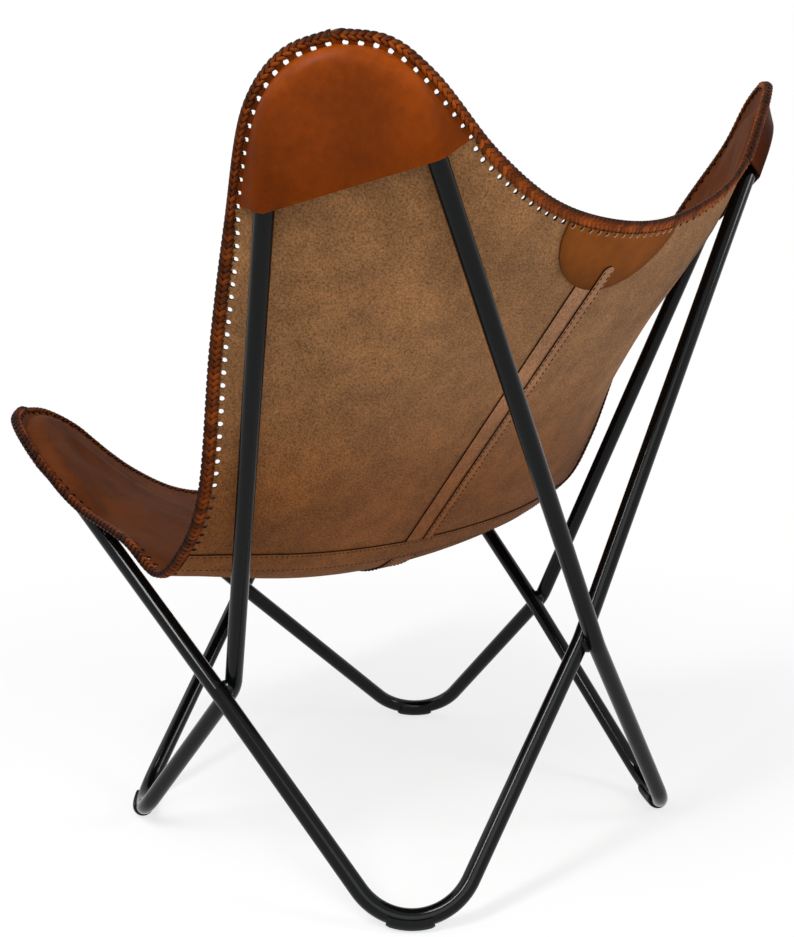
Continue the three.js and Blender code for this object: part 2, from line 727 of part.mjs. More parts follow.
// The laced edge: a folded leather channel over the hem, in one length for each side of the sling
const slotEnd = HEM_WIDTH + SEAT_CLEARANCE;
const slotWidth = SHEET + 2 * SEAT_CLEARANCE;
const hemSlot = Object.values(PANELS)
  .map((patch) => toSolid(slingPanel(patch, slotEnd, slotWidth, -SEAM_GAP)))
  .reduce((joined, panel) => joined.add(panel));
const cover = slotWidth / 2 + LACE_WALL;
const lip = POCKET_SHEET / 2 + 2 * SEAT_CLEARANCE;
const laceSection = [
  [lip, cover], [slotEnd, cover], [slotEnd + LACE_WALL, slotWidth / 2],
  [slotEnd + LACE_WALL, -slotWidth / 2], [slotEnd, -cover], [lip, -cover],
].map(([out, up]) => new THREE.Vector2(out, up));

function laceStrip(places) {
  const rings = places.map(([row, column], index) => {
    const { point, outward, normal } = hemOf.get(`${row},${column}`);
    const ring = laceSection.map((corner) => point.clone()
      .addScaledVector(outward, corner.x)
      .addScaledVector(normal, corner.y));
    const isEnd = index === 0 || index === places.length - 1;
    if (isEnd) {
      const [nextRow, nextColumn] = places[index === 0 ? 1 : places.length - 2];
      const into = grid[nextRow][nextColumn].clone().sub(point).normalize();
      ring.forEach((corner) => corner.addScaledVector(into, SEAT_CLEARANCE / 2));
    }
    return ring;
  });
  const lobes = toSolid(loftSection(rings, laceSection)).subtract(hemSlot).decompose();
  return toGeometry(lobes.reduce((best, lobe) => (lobe.volume() > best.volume() ? lobe : best)));
}

const topCount = columns;
const sideCount = rows;
const laceLengths = {
  top_lacing: edgePlaces.slice(0, topCount),
  right_lacing: edgePlaces.slice(topCount - 1, topCount + sideCount - 1),
  front_lacing: edgePlaces.slice(topCount + sideCount - 2, 2 * topCount + sideCount - 2),
  left_lacing: [...edgePlaces.slice(2 * topCount + sideCount - 3), edgePlaces[0]],
};
for (const [name, places] of Object.entries(laceLengths)) {
  addPiece(name, laceStrip(places), LACE_BROWN, 0.6, 0);
}

// Pockets: a leaf of leather laced to the hem that goes over the outside of a tube loop
const leafReach = tubeRadius + POCKET_SHEET / 2 + POCKET_STANDOFF;

// From the hem the leaf runs straight to the tube and then round it to its outer side
function leafProfile(hemBeside, hemDepth) {
  const reach = Math.hypot(hemBeside, hemDepth);
  const touch = Math.atan2(-hemDepth, hemBeside) + Math.acos(Math.min(leafReach / reach, 1));
  const round = Array.from({ length: POCKET_ROUND_STEPS + 1 }, (_, step) => {
    const angle = touch + (step / POCKET_ROUND_STEPS) * (Math.PI / 2 - touch);
    return [Math.cos(angle) * leafReach, Math.sin(angle) * leafReach];
  });
  return [[hemBeside, -hemDepth], ...round];
}

// The mouth of a pocket runs straight from hem to hem, so the leaf slides along the legs to that line
function mouthSlides(starts, feet, outside) {
  const last = starts.length - 1;
  const slides = starts.map(() => vec(0, 0, 0));
  const mouth = starts[last].clone().sub(starts[0]);
  for (const [end, step] of [[0, 1], [last, -1]]) {
    const leg = feet[end + step].clone().sub(feet[end]).normalize();
    const toHem = starts[end].clone().sub(feet[end]);
    const slide = outside.dot(toHem.cross(mouth)) / outside.dot(leg.clone().cross(mouth));
    for (let line = end; line !== last / 2; line += step) {
      const share = 1 - feet[line].distanceTo(feet[end]) / POCKET_MOUTH_EASE;
      slides[line].addScaledVector(leg, slide * Math.max(share, 0));
    }
  }
  return slides;
}

function pocketLeaf(tubeName, places, outside) {
  const { stations } = tubePaths[tubeName];
  const starts = places.map(([row, column]) => {
    const { point, normal } = hemOf.get(`${row},${column}`);
    return point.clone().addScaledVector(normal, -(SHEET + POCKET_SHEET) / 2 - SEAT_CLEARANCE);
  });
  const feet = starts.map((start) => nearestOnTube(stations, start));
  const slides = mouthSlides(starts, feet, outside);
  const lines = starts.map((start, line) => {
    const offset = start.clone().sub(feet[line]);
    const depth = -offset.dot(outside);
    const beside = offset.addScaledVector(outside, depth);
    const away = beside.clone().normalize();
    return leafProfile(beside.length(), depth).map(([sideways, up], ring) => feet[line].clone()
      .addScaledVector(away, sideways)
      .addScaledVector(outside, up)
      .addScaledVector(slides[line], ring === 0 ? 0 : 1));
  });
  const points = lines.flat();
  const ringCount = lines[0].length;
  const faces = [];
  const addQuad = (a, b, c, d) => faces.push([a, b, c], [a, c, d]);
  for (let line = 0; line < lines.length - 1; line += 1) {
    for (let ring = 0; ring < ringCount - 1; ring += 1) {
      const a = line * ringCount + ring;
      addQuad(a, a + 1, a + 1 + ringCount, a + ringCount);
    }
  }
  const tip = (lines.length - 1) / 2;
  const bridge = (line) => {
    const from = line * ringCount + ringCount - 1;
    const to = (lines.length - line) * ringCount - 1;
    const inner = Array.from({ length: POCKET_BRIDGE_STEPS - 1 }, (_, step) => {
      points.push(points[from].clone().lerp(points[to], (step + 1) / POCKET_BRIDGE_STEPS));
      return points.length - 1;
    });
    return [from, ...inner, to];
  };
  const bridges = Array.from({ length: tip }, (_, line) => bridge(line));
  for (let line = 0; line < tip - 1; line += 1) {
    const here = bridges[line];
    const next = bridges[line + 1];
    for (let step = 0; step < POCKET_BRIDGE_STEPS; step += 1) {
      addQuad(here[step], here[step + 1], next[step + 1], next[step]);
    }
  }
  const crown = tip * ringCount + ringCount - 1;
  for (let step = 0; step < POCKET_BRIDGE_STEPS; step += 1) {
    faces.push([bridges[tip - 1][step], bridges[tip - 1][step + 1], crown]);
  }
  return { points, faces };
}

const pocketSteps = CORNER_LINES.length - 1;
const steps = Array.from({ length: pocketSteps }, (_, step) => step + 1);
const fromFar = [...steps].reverse();
const POCKETS = {
  rear_right_pocket: ['rear_right_top_loop', rightHalf.outside[0], [
    ...fromFar.map((step) => [step, lastColumn]), [0, lastColumn],
    ...steps.map((step) => [0, lastColumn - step]),
  ]],
  rear_left_pocket: ['rear_left_top_loop', leftHalf.outside[0], [
    ...fromFar.map((step) => [0, step]), [0, 0], ...steps.map((step) => [step, 0]),
  ]],
  front_right_pocket: ['front_right_top_loop', rightHalf.outside[1], [
    ...fromFar.map((step) => [lastRow, lastColumn - step]), [lastRow, lastColumn],
    ...steps.map((step) => [lastRow - step, lastColumn]),
  ]],
  front_left_pocket: ['front_left_top_loop', leftHalf.outside[1], [
    ...fromFar.map((step) => [lastRow - step, 0]), [lastRow, 0], ...steps.map((step) => [lastRow, step]),
  ]],
};
for (const [name, [tubeName, outside, places]] of Object.entries(POCKETS)) {
  const { points, faces } = pocketLeaf(tubeName, places, outside);
  const geometry = thicken(points, pointNormals(points, faces), faces, POCKET_SHEET / 2);
  addPiece(name, geometry, COGNAC, 0.45, 0);
}

// A place on the outer face of the sling, between grid lines
function onSling(rowPlace, columnPlace) {
  const row = Math.min(Math.floor(rowPlace), rows - 2);
  const column = Math.min(Math.floor(columnPlace), columns - 2);
  const down = rowPlace - row;
  const over = columnPlace - column;
  const mix = (table) => table[row][column].clone().lerp(table[row][column + 1], over)
    .lerp(table[row + 1][column].clone().lerp(table[row + 1][column + 1], over), down);
  return { point: mix(grid), normal: mix(normals).normalize() };
}

function outerPiece(places, faces, gap) {
  const on = places.map(([rowPlace, columnPlace]) => onSling(rowPlace, columnPlace));
  const outwards = (SHEET + STRIP_SHEET) / 2 + gap;
  const points = on.map(({ point, normal }) => point.clone().addScaledVector(normal, -outwards));
  return thicken(points, on.map(({ normal }) => normal), faces, STRIP_SHEET / 2);
}

// Faces of a strip that has a left, a middle and a right point at each station
function stripFaces(count) {
  const faces = [];
  for (let index = 0; index < count - 1; index += 1) {
    for (const a of [3 * index, 3 * index + 1]) {
      faces.push([a, a + 3, a + 4], [a, a + 4, a + 1]);
    }
  }
  return faces;
}

// Row and column places that lie a given distance from a grid line
const placeBelowTop = (distance) => {
  let row = 0;
  let left = distance;
  for (;;) {
    const length = grid[row][half].distanceTo(grid[row + 1][half]);
    if (left <= length) {
      return row + left / length;
    }
    left -= length;
    row += 1;
  }
};
const columnBeside = (row, distance) => {
  const wide = grid[row][half + 1].x - grid[row][half].x;
  return half + distance / wide;
};
const rowBeside = (column, distance) => {
  const next = distance > 0 ? seamRow + 1 : seamRow - 1;
  return seamRow + distance / grid[seamRow][column].distanceTo(grid[next][column]);
};

// The strips cover the seams on the outer side: down the back, across, and along under the seat
const stripLeft = MIDDLE_STRIP_OFFSET - MIDDLE_STRIP_WIDTH / 2;
const stripRight = MIDDLE_STRIP_OFFSET + MIDDLE_STRIP_WIDTH / 2;
const halfCross = CROSS_STRIP_WIDTH / 2;
function middleStrip(rowPlaces) {
  const places = rowPlaces.flatMap((row) => {
    const line = Math.floor(row);
    return [[row, columnBeside(line, stripLeft)], [row, half], [row, columnBeside(line, stripRight)]];
  });
  return outerPiece(places, stripFaces(rowPlaces.length), SEAT_CLEARANCE);
}
const between = (from, to) => {
  const whole = Array.from({ length: rows }, (_, row) => row).filter((row) => row > from && row < to);
  return [from, ...whole, to];
};
const stripEnd = halfCross + SEAM_GAP;
const patchEnd = placeBelowTop(PATCH_DEPTH + SEAM_GAP);
const backStrip = middleStrip(between(patchEnd, rowBeside(half, -stripEnd)));
const seatStrip = middleStrip(between(rowBeside(half, stripEnd), lastRow));
addPiece('back_seam_strip', backStrip, SUEDE_BROWN, 0.85, 0);
addPiece('seat_seam_strip', seatStrip, SUEDE_BROWN, 0.85, 0);
const crossPlaces = Array.from({ length: columns }, (_, column) => [
  [rowBeside(column, halfCross), column], [seamRow, column], [rowBeside(column, -halfCross), column],
]).flat();
const crossStrip = outerPiece(crossPlaces, stripFaces(columns), SEAT_CLEARANCE);
addPiece('cross_seam_strip', crossStrip, SUEDE_BROWN, 0.85, 0);

// The half-round patch lies on the outer side of the back under the top hem
function topPatch() {
  const places = [[0, half]];
  const faces = [];
  for (let ring = 1; ring <= PATCH_RINGS; ring += 1) {
    for (let spoke = 0; spoke <= PATCH_SPOKES; spoke += 1) {
      const angle = (spoke / PATCH_SPOKES) * Math.PI;
      const share = ring / PATCH_RINGS;
      const row = placeBelowTop(Math.sin(angle) * PATCH_DEPTH * share);
      places.push([row, columnBeside(Math.floor(row), Math.cos(angle) * PATCH_HALF_WIDTH * share)]);
      const here = places.length - 1;
      if (spoke > 0 && ring === 1) {
        faces.push([0, here, here - 1]);
      }
      if (spoke > 0 && ring > 1) {
        const inner = here - PATCH_SPOKES - 1;
        faces.push([inner - 1, here, here - 1], [inner - 1, inner, here]);
      }
    }
  }
  return outerPiece(places, faces, PATCH_GAP);
}
addPiece('top_patch', topPatch(), COGNAC, 0.45, 0);

// The origin is on the floor under the middle of the chair
chair.updateMatrixWorld(true);
const extent = new THREE.Box3().setFromObject(chair, true);
const middleOfBox = extent.getCenter(vec(0, 0, 0));
chair.position.set(-middleOfBox.x, -middleOfBox.y, -extent.min.z);

export default chair;
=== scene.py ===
"""Dresses the butterfly sling chair: bent tube, laced hide, pockets, seams and a plain studio."""
import math
from types import SimpleNamespace

import bpy
import numpy as np
from bpy.props import FloatProperty, FloatVectorProperty, PointerProperty
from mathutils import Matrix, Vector


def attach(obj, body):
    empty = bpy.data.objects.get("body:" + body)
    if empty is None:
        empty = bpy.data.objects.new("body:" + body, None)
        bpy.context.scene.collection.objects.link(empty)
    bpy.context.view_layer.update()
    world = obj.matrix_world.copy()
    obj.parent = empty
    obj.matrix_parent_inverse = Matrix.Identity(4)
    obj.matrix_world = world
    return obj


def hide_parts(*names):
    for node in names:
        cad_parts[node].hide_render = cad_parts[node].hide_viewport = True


bl_info = {
    "name": "Butterfly sling chair",
    "version": (1, 0, 0),
    "blender": (4, 5, 0),
    "location": "View3D > Sidebar > Chair",
    "description": "Builds the dressed butterfly sling chair piece by piece",
    "category": "Add Mesh",
}

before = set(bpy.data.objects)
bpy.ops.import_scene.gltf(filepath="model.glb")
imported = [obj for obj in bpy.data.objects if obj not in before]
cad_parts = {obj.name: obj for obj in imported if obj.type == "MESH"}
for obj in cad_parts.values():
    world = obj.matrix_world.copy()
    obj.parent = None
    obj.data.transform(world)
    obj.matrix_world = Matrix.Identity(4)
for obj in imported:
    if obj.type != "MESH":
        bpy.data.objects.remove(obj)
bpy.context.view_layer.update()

# Millimetres in a metre, and the angle up to which faces are shaded smooth
MM = 1000.0
SMOOTH_ANGLE = 40

# Frame layout in millimetres, as the solids have it, before the shift to the middle of the box
ROW_SHIFT = (5.455, 32.540, 0.0)
BEND_RADIUS = 71.0
KNEE_RADIUS = 60.0
GLIDE_WALL = 2.5
GLIDE_GAP = 0.3
GLIDE_SOLE = 0.7
GLIDE_TAPER = 0.35
GLIDE_TAPER_FROM = 0.86
SIDE_CROSSING = (283.0, 0.0, 221.0)
REAR_CROSSING = (0.0, 295.0, 276.5)
FRONT_CROSSING = (0.0, -311.0, 226.5)
CROSSING_GAP = 1.2
REAR_APEX = (447.0, 322.0, 1105.0)
FRONT_APEX = (341.0, -409.0, 562.0)
REAR_FOOT = (242.0, 270.0)
FRONT_FOOT = (278.5, -225.0)

# Sling layout in millimetres
TOP_MIDDLE = (0.0, 333.0, 730.0)
SEAT_CORNER = (0.0, -8.0, 301.0)
SEAT_CORNER_RADIUS = 110.0
FRONT_MIDDLE = (0.0, -372.0, 363.0)
TOP_HEM = [(118, 327, 745), (218, 328, 789)]
SIDE_HEM = [
    (371, 148, 738), (350, 94, 618), (340, 53, 455), (329, 0, 387), (325, -52, 353),
    (326, -114, 381), (331, -205, 410),
]
# The far side hangs a little straighter than the near one.
LEFT_HEM_SHIFT = [(0, 0, 0), (5, 5, 0), (-6, -6, 0), (4, 4, 0), (0, 0, 0), (0, 0, 0), (0, 0, 0)]
FRONT_HEM = [(70, -373, 375), (140, -379, 410), (196, -384, 452)]
HEM_MIDDLE_ANGLES = (58, 29)
HEM_SIDE_ANGLES = (-30, -62)
REAR_CORNER = SimpleNamespace(facing=(-1, -1, 0), to_tube=4.0, inset=12.0, twist=0.0, standoff=2.4)
FRONT_CORNER = SimpleNamespace(facing=(-1, 1, 1), to_tube=9.0, inset=-2.0, twist=16.0, standoff=4.5)
TUBE_EASE = 95.0
TUBE_SOFTNESS = 9.0
FLATNESS = 4
END_PULL = 4
SIDE_LEAD = 0.06
REAR_LEFT_SLACK = 26.0
FRONT_SLACK = 7.0

# Pockets in millimetres, and how strongly wear and painted light and shade change their colour
POCKET_STANDOFF = 2.8
POCKET_MOUTH_EASE = 40.0
POCKET_WEAR_AND_SHADE_REACH = 45.0
POCKET_CROWN_REACH = 130.0
WEAR_AND_SHADE_FALLOFF = 1.5
CROWN_WEAR = 0.95
# The far leg gets painted light, the near leg and the rear left pocket painted shade.
FAR_LEG_PAINTED_LIGHT = 0.4
WEAR_START = 0.3
NEAR_LEG_PAINTED_SHADE = 0.2
REAR_LEFT_PAINTED_SHADE = 0.5
POCKET_RIM = 8.0
POCKET_LEAD = (0, 0.34, 0.67)
POCKET_RINGS = 9
POCKET_SPANS = 20
# Corners whose pocket follows the hem from the side round to the middle
SIDE_FIRST_CORNERS = ("rear_right", "front_left")

# Sling grid: lines as shares of its half width and of its length, and the steps between lines
ACROSS_LINES = [0, .14, .28, .42, .55, .63, .71, .78, .84, .895, .94, .973, 1]
ALONG_LINES = [
    0, .0075, .017, .039, .067, .099, .135, .173, .24, .315, .39, .44, .48, .512, .54,
    .567, .59, .615, .65, .71, .77, .82, .865, .9, .93, .955, .972, .985, .9935, 1,
]
SEAM_LINE = 14
POCKET_LINES = 7
FINE = 5
MIDDLE_ARC_POINTS = 61
NORMAL_PASSES = 12
OUTWARD_PASSES = 6
HEM_RINGS = 3

# Clearances in millimetres
PANEL_GAP = 0.2
SEWN_GAP = 0.3
STRIP_GAP = 0.4
THREAD_LIFT = 0.35

# Lace holes and lacing in millimetres
HEM_RUNS = ("top", "right", "front", "left")
RUN_STEP = 2.0
FOLD_LINES = 3
TURNS_PER_HOLE = 2
HOLE_INSET = 2.6
HOLE_SHIFT = 4.9
PUNCH_LENGTH = 6.0
LACE_RISE = 2.5
LACE_LEAN = 1.45
LACE_REACH = 13.4
LACE_THICKNESS = 1.8
LACE_SHIFT = 4.0
LACE_SINK = 1.2
LACE_THICKENING = 1.42
LACE_RIM_START = 9.4
LACE_RIM_SPAN = 3.0
LACE_BLEND = 90.0
LACE_SHADES = (0.45, 1.5)
# Painted shade: the lace along the front and the far side is darker, and along the top lighter, for how the
# light falls on each side.
LACE_PAINTED_SHADE = {"top": 1.15, "right": 0.62, "front": 0.32, "left": 0.28}

# Strips, strap, patch and stitches in millimetres
MIDDLE_PROFILE = (-12.5, -11.5, -8.0, -3.0, 0.0, 2.5, 5.0, 10.0, 16.0, 24.0, 30.0, 31.7, 32.5)
CROSS_PROFILE = (-17.0, -16.0, -12.0, -6.0, 0.0, 6.0, 12.0, 16.0, 17.0)
PATCH_HALF_WIDTH = 98.0
PATCH_DEPTH = 75.0
PATCH_LAP = 4.0
TONGUE = (-12.0, 5.0)
TONGUE_LAP = 33.0
TONGUE_END = (0.05, 0.25, 1.0, 2.2, 4.0, 6.2)
TONGUE_ACROSS = (-1, -0.9, -0.5, 0, 0.5, 0.9, 1)
STITCH_SHARE = 0.7
CROSS_THREAD = 0.75
STITCH_START = 9.0
STITCH_END = 3.0
TONGUE_STITCHES = (TONGUE[0] + 2.6, TONGUE[1] - 2.6)
SEAT_STITCHES = (-9.5, 29.5)
CROSS_STITCHES = (-13.5, 13.5)
INNER_STITCHES = (-6.0, 6.0)
SEAM_SAMPLES = 120
INNER_SAMPLES = 200

# For each strip, its flat size in metres and the panels that it lies on
STRIPS = {
    "back_seam_strip": ((0.045, 0.41), "back_panel"),
    "seat_seam_strip": ((0.045, 0.41), "seat_panel"),
    "cross_seam_strip": ((0.034, 0.72), "seat_panel"),
}

# Colours that no setting changes
STRIP_COLOUR = "976b4a"
PATCH_COLOUR = "764013"
RAW_COLOUR = "b8937c"
# The dark burnished edge colour is also painted shade in the lace holes and a painted shadow line along the
# strip edges.
EDGE_AND_SHADE_COLOUR = "24120a"

# Stage in metres: each lamp has its place, its size and its power in watts
LAMPS = {
    "key_lamp": ((2.1, 0.4, 2.75), (0.45, 1.8), 80.0),
    "fill_lamp": ((-1.2, 2.6, 1.8), (0.9, 0.9), 30.0),
    "back_lamp": ((1.8, 2.4, 1.6), (2.0, 2.0), 26.0),
    "front_lamp": ((1.4, -2.4, 2.0), (2.0, 2.0), 16.0),
}
LAMP_TARGET = (0.0, 0.0, 0.45)
CAMERA_PLACE = (1.1667, 1.1598, 0.6999)
CAMERA_TARGET = (0.0551, 0.0756, 0.4524)
FLOOR_RADIUS = 40.0
FLOOR_SIDES = 64


def linear(code):
    """Turns an sRGB hex colour into linear values."""
    parts = [int(code[i:i + 2], 16) / 255 for i in (0, 2, 4)]
    return tuple(p / 12.92 if p <= 0.04045 else ((p + 0.055) / 1.055) ** 2.4 for p in parts)


def per_mm(size):
    """Texture scale, per metre, for a pattern whose features are this many millimetres."""
    return MM / size


class FrameSettings(bpy.types.PropertyGroup):
    """Sizes and coat of the welded frame."""
    tube: FloatProperty(
        name="Tube diameter", description="Outside diameter of the steel tube",
        default=0.020, unit="LENGTH")
    coat: FloatVectorProperty(
        name="Powder coat", description="Colour of the powder coat", subtype="COLOR",
        default=linear("050607"))
    glide: FloatVectorProperty(
        name="Glide plastic", description="Colour of the floor glides", subtype="COLOR",
        default=linear("0c0d0f"))


class SlingSettings(bpy.types.PropertyGroup):
    """Sizes and colours of the hide, its lacing and its seams."""
    sheet: FloatProperty(
        name="Hide thickness", description="Thickness of the sling panels",
        default=0.003, unit="LENGTH")
    pocket_sheet: FloatProperty(
        name="Pocket thickness", description="Thickness of the pocket leaves",
        default=0.0022, unit="LENGTH")
    strip_sheet: FloatProperty(
        name="Strip thickness", description="Thickness of the seam strips and patch",
        default=0.0018, unit="LENGTH")
    hem: FloatProperty(
        name="Hem width", description="Width of the edge that the lacing covers",
        default=0.012, unit="LENGTH")
    pitch: FloatProperty(
        name="Lacing pitch", description="Distance between neighbouring lace holes",
        default=0.0135, unit="LENGTH")
    hole: FloatProperty(
        name="Hole diameter", description="Diameter of the punched lace holes",
        default=0.0056, unit="LENGTH")
    stitch: FloatProperty(
        name="Stitch pitch", description="Distance between neighbouring stitches",
        default=0.0068, unit="LENGTH")
    thread_size: FloatProperty(
        name="Thread thickness", description="Thickness of a stitch across the seam",
        default=0.0016, unit="LENGTH")
    flesh: FloatVectorProperty(
        name="Flesh side", description="Main colour of the napped outer face", subtype="COLOR",
        default=linear("845d3a"))
    grain: FloatVectorProperty(
        name="Grain side", description="Main colour of the smooth inner face", subtype="COLOR",
        default=linear("4f2812"))
    cognac: FloatVectorProperty(
        name="Pocket leather", description="Main colour of the pockets", subtype="COLOR",
        default=linear("662a02"))
    lace: FloatVectorProperty(
        name="Lace leather", description="Main colour of the lacing", subtype="COLOR",
        default=linear("70330a"))
    thread: FloatVectorProperty(
        name="Thread", description="Colour of the waxed thread", subtype="COLOR",
        default=linear("2e1a10"))


def row_frame(points):
    """Millimetres of the layout as metres of the row's frame."""
    return (np.asarray(points, float) + ROW_SHIFT) / MM


def half_tube(scene):
    """Radius of the tube in millimetres."""
    return scene.chair_frame.tube * MM / 2


def unit(vectors):
    """The same directions with length one."""
    vectors = np.asarray(vectors, float)
    return vectors / np.linalg.norm(vectors, axis=-1, keepdims=True)


def mirrored(point):
    """The point on the other side of the middle plane."""
    return np.array([-point[0], point[1], point[2]])


def lengths_along(points):
    """Distance along a path from its first point to each of its points."""
    return np.concatenate([[0], np.cumsum(np.linalg.norm(np.diff(points, axis=0), axis=1))])


# Tube geometry
def make_bend(corner, before, after, radius):
    """A round bend between two straight runs that would meet at a corner."""
    corner = np.asarray(corner, float)
    to_before, to_after = unit(before - corner), unit(after - corner)
    inward = unit(to_before + to_after)
    half = math.acos(np.clip(to_before @ inward, -1, 1))
    across = unit(to_after - (to_after @ inward) * inward)
    return SimpleNamespace(
        centre=corner + inward * radius / math.sin(half), inward=inward, across=across,
        sweep=math.pi / 2 - half, radius=radius)


def bend_at(bend, angles, reach=None):
    """Points of a bend at angles from its middle."""
    angles = np.asarray(angles, float)[..., None]
    reach = bend.radius if reach is None else reach
    return bend.centre + reach * (np.sin(angles) * bend.across - np.cos(angles) * bend.inward)


def lowest_angle(bend):
    """Angle at which a floor bend is lowest."""
    return math.atan2(-bend.across[2], bend.inward[2])


def foot_corner(out, back, before, after, stand):
    """The corner of a floor bend, lowered until the bend stands at the height of its glide."""
    corner = np.array([out, back, 0.0])
    for _ in range(12):
        bend = make_bend(corner, before, after, BEND_RADIUS)
        corner[2] += stand - bend_at(bend, lowest_angle(bend))[2]
    return corner


def lay_out_tubes(radius):
    """For each tube: its corner, its two crossings, and the corners beyond them."""
    pitch = radius + CROSSING_GAP / 2
    side, rear, front = (np.array(p) for p in (SIDE_CROSSING, REAR_CROSSING, FRONT_CROSSING))
    out, back = np.array([pitch, 0, 0]), np.array([0, pitch, 0])
    side_in, side_out = side - out, side + out
    rear_in, rear_out = rear - back, rear + back
    front_in, front_out = front + back, front - back
    left_in, left_out = mirrored(side_in), mirrored(side_out)
    rear_apex, front_apex = np.array(REAR_APEX), np.array(FRONT_APEX)
    stand = radius + GLIDE_WALL
    rear_own = foot_corner(*REAR_FOOT, side_out, rear_in, stand)
    rear_cross = mirrored(foot_corner(*REAR_FOOT, side_in, rear_out, stand))
    front_own = foot_corner(*FRONT_FOOT, side_in, front_out, stand)
    front_cross = mirrored(foot_corner(*FRONT_FOOT, side_out, front_in, stand))
    rear_left, front_left = mirrored(rear_apex), mirrored(front_apex)
    return {
        "rear_right_top_loop": (rear_apex, side_in, rear_out, front_own, rear_cross),
        "rear_left_top_loop": (rear_left, left_out, rear_in, front_cross, rear_own),
        "front_right_top_loop": (front_apex, side_out, front_in, rear_own, front_cross),
        "front_left_top_loop": (front_left, left_in, front_out, rear_cross, front_own),
        "rear_right_floor_bend": (rear_own, side_out, rear_in, front_apex, rear_left),
        "rear_left_floor_bend": (rear_cross, left_in, rear_out, front_left, rear_apex),
        "front_right_floor_bend": (front_own, side_in, front_out, rear_apex, front_left),
        "front_left_floor_bend": (front_cross, left_out, front_in, rear_left, front_apex),
    }


def tube_path(corner, first, second, beyond_first, beyond_second, bend_steps=40, knee_steps=8):
    """Points along a tube from the middle of one knee to the middle of the other."""
    bend = make_bend(corner, first, second, BEND_RADIUS)
    knees = []
    for knee, beyond in ((first, beyond_first), (second, beyond_second)):
        turn = make_bend(knee, beyond, corner, KNEE_RADIUS)
        knees.append(bend_at(turn, np.linspace(0, turn.sweep, knee_steps + 1)))
    arc = bend_at(bend, np.linspace(-bend.sweep, bend.sweep, bend_steps + 1))
    return np.concatenate([knees[0], arc, knees[1][::-1]])


def travel_frames(path):
    """Side and up directions that follow a path without twisting."""
    steps = unit(np.diff(path, axis=0))
    ahead = unit(np.vstack([steps[:1], steps[1:] + steps[:-1], steps[-1:]]))
    side = np.cross(ahead[0], [0.0, 0.0, 1.0])
    sides = []
    for heading in ahead:
        side = unit(side - (side @ heading) * heading)
        sides.append(side)
    sides = np.array(sides)
    return sides, np.cross(sides, ahead)


def ring_faces(rows, sides):
    """Faces between each ring of points and the next."""
    faces = []
    for row in range(rows - 1):
        for k in range(sides):
            a, b = row * sides + k, row * sides + (k + 1) % sides
            faces.append((a, b, b + sides, a + sides))
    return faces


def closed_bar(rows, sides):
    """Faces of a bar made of rings, with a cap on each end."""
    last = (rows - 1) * sides
    return ring_faces(rows, sides) + [tuple(range(sides))[::-1], tuple(range(last, last + sides))]


def grid_faces(rows, columns):
    """Faces of a grid of points, row by row."""
    starts = [row * columns + k for row in range(rows - 1) for k in range(columns - 1)]
    return [(a, a + columns, a + columns + 1, a + 1) for a in starts]


def sweep_round(path, radius, sides=32):
    """Vertices and faces of a round bar along a path, closed at both ends."""
    side, up = travel_frames(path)
    turn = np.linspace(0, 2 * math.pi, sides, endpoint=False)
    ring = np.cos(turn)[None, :, None] * side[:, None] + np.sin(turn)[None, :, None] * up[:, None]
    points = (path[:, None] + radius * ring).reshape(-1, 3)
    return points, closed_bar(len(path), sides)


# Mesh helpers
def placed(name, data):
    """A new object in the scene that shows a mesh, a lamp or a camera."""
    thing = bpy.data.objects.new(name, data)
    bpy.context.scene.collection.objects.link(thing)
    return thing


def new_piece(name, points, faces, materials, face_slots=None, smooth_angle=SMOOTH_ANGLE):
    """A mesh object at the origin, in the row's frame, shaded smooth up to an angle."""
    mesh = bpy.data.meshes.new(name)
    mesh.from_pydata([tuple(p) for p in row_frame(points)], [], faces)
    for material in materials:
        mesh.materials.append(material)
    if face_slots is not None:
        mesh.polygons.foreach_set("material_index", face_slots)
    finish_mesh(mesh, smooth_angle)
    return placed(name, mesh)


def finish_mesh(mesh, smooth_angle=SMOOTH_ANGLE):
    """Checks a mesh and shades it smooth up to an angle."""
    mesh.validate()
    mesh.shade_smooth()
    mesh.set_sharp_from_angle(angle=math.radians(smooth_angle))
    mesh.update()


def store_float(mesh, name, values):
    """Keeps one number for each vertex, for a material to read."""
    layer = mesh.attributes.new(name, "FLOAT", "POINT")
    layer.data.foreach_set("value", np.asarray(values, np.float32))


def thick_sheet(points, normals, quads, thickness):
    """A closed sheet: the inner face, the outer face and the edge between them."""
    count = len(points)
    both = np.concatenate([points + normals * thickness / 2, points - normals * thickness / 2])
    faces, slots, open_edges = [], [], {}
    for quad in quads:
        faces.append(tuple(quad))
        slots.append(0)
        faces.append(tuple(v + count for v in reversed(quad)))
        slots.append(1)
        for a, b in zip(quad, quad[1:] + quad[:1]):
            if open_edges.pop((b, a), None) is None:
                open_edges[(a, b)] = True
    for a, b in open_edges:
        faces.append((b, a, a + count, b + count))
        slots.append(2)
    return both, faces, slots


def sheet_piece(name, surface, thickness, materials):
    """A piece with a thickness, made from the points, normals and faces of a surface."""
    both, faces, slots = thick_sheet(*surface, thickness)
    return new_piece(name, both, faces, materials, slots)


# Node helpers
def add_node(tree, kind, settings=None, inputs=None):
    """Adds a node, sets its properties, and sets or links its inputs."""
    node = tree.nodes.new(kind)
    for name, value in (settings or {}).items():
        setattr(node, name, value)
    for key, value in (inputs or {}).items():
        if isinstance(value, bpy.types.NodeSocket):
            tree.links.new(value, node.inputs[key])
        else:
            node.inputs[key].default_value = value
    return node


def new_material(name, **shader):
    """A material with a Principled shader whose constant inputs are given by name."""
    material = bpy.data.materials.new(name)
    material.use_nodes = True
    tree = material.node_tree
    surface = tree.nodes["Principled BSDF"]
    for key, value in shader.items():
        surface.inputs[key.replace("_", " ")].default_value = value
    coords = add_node(tree, "ShaderNodeTexCoord")
    return material, tree, surface, coords.outputs["Object"]


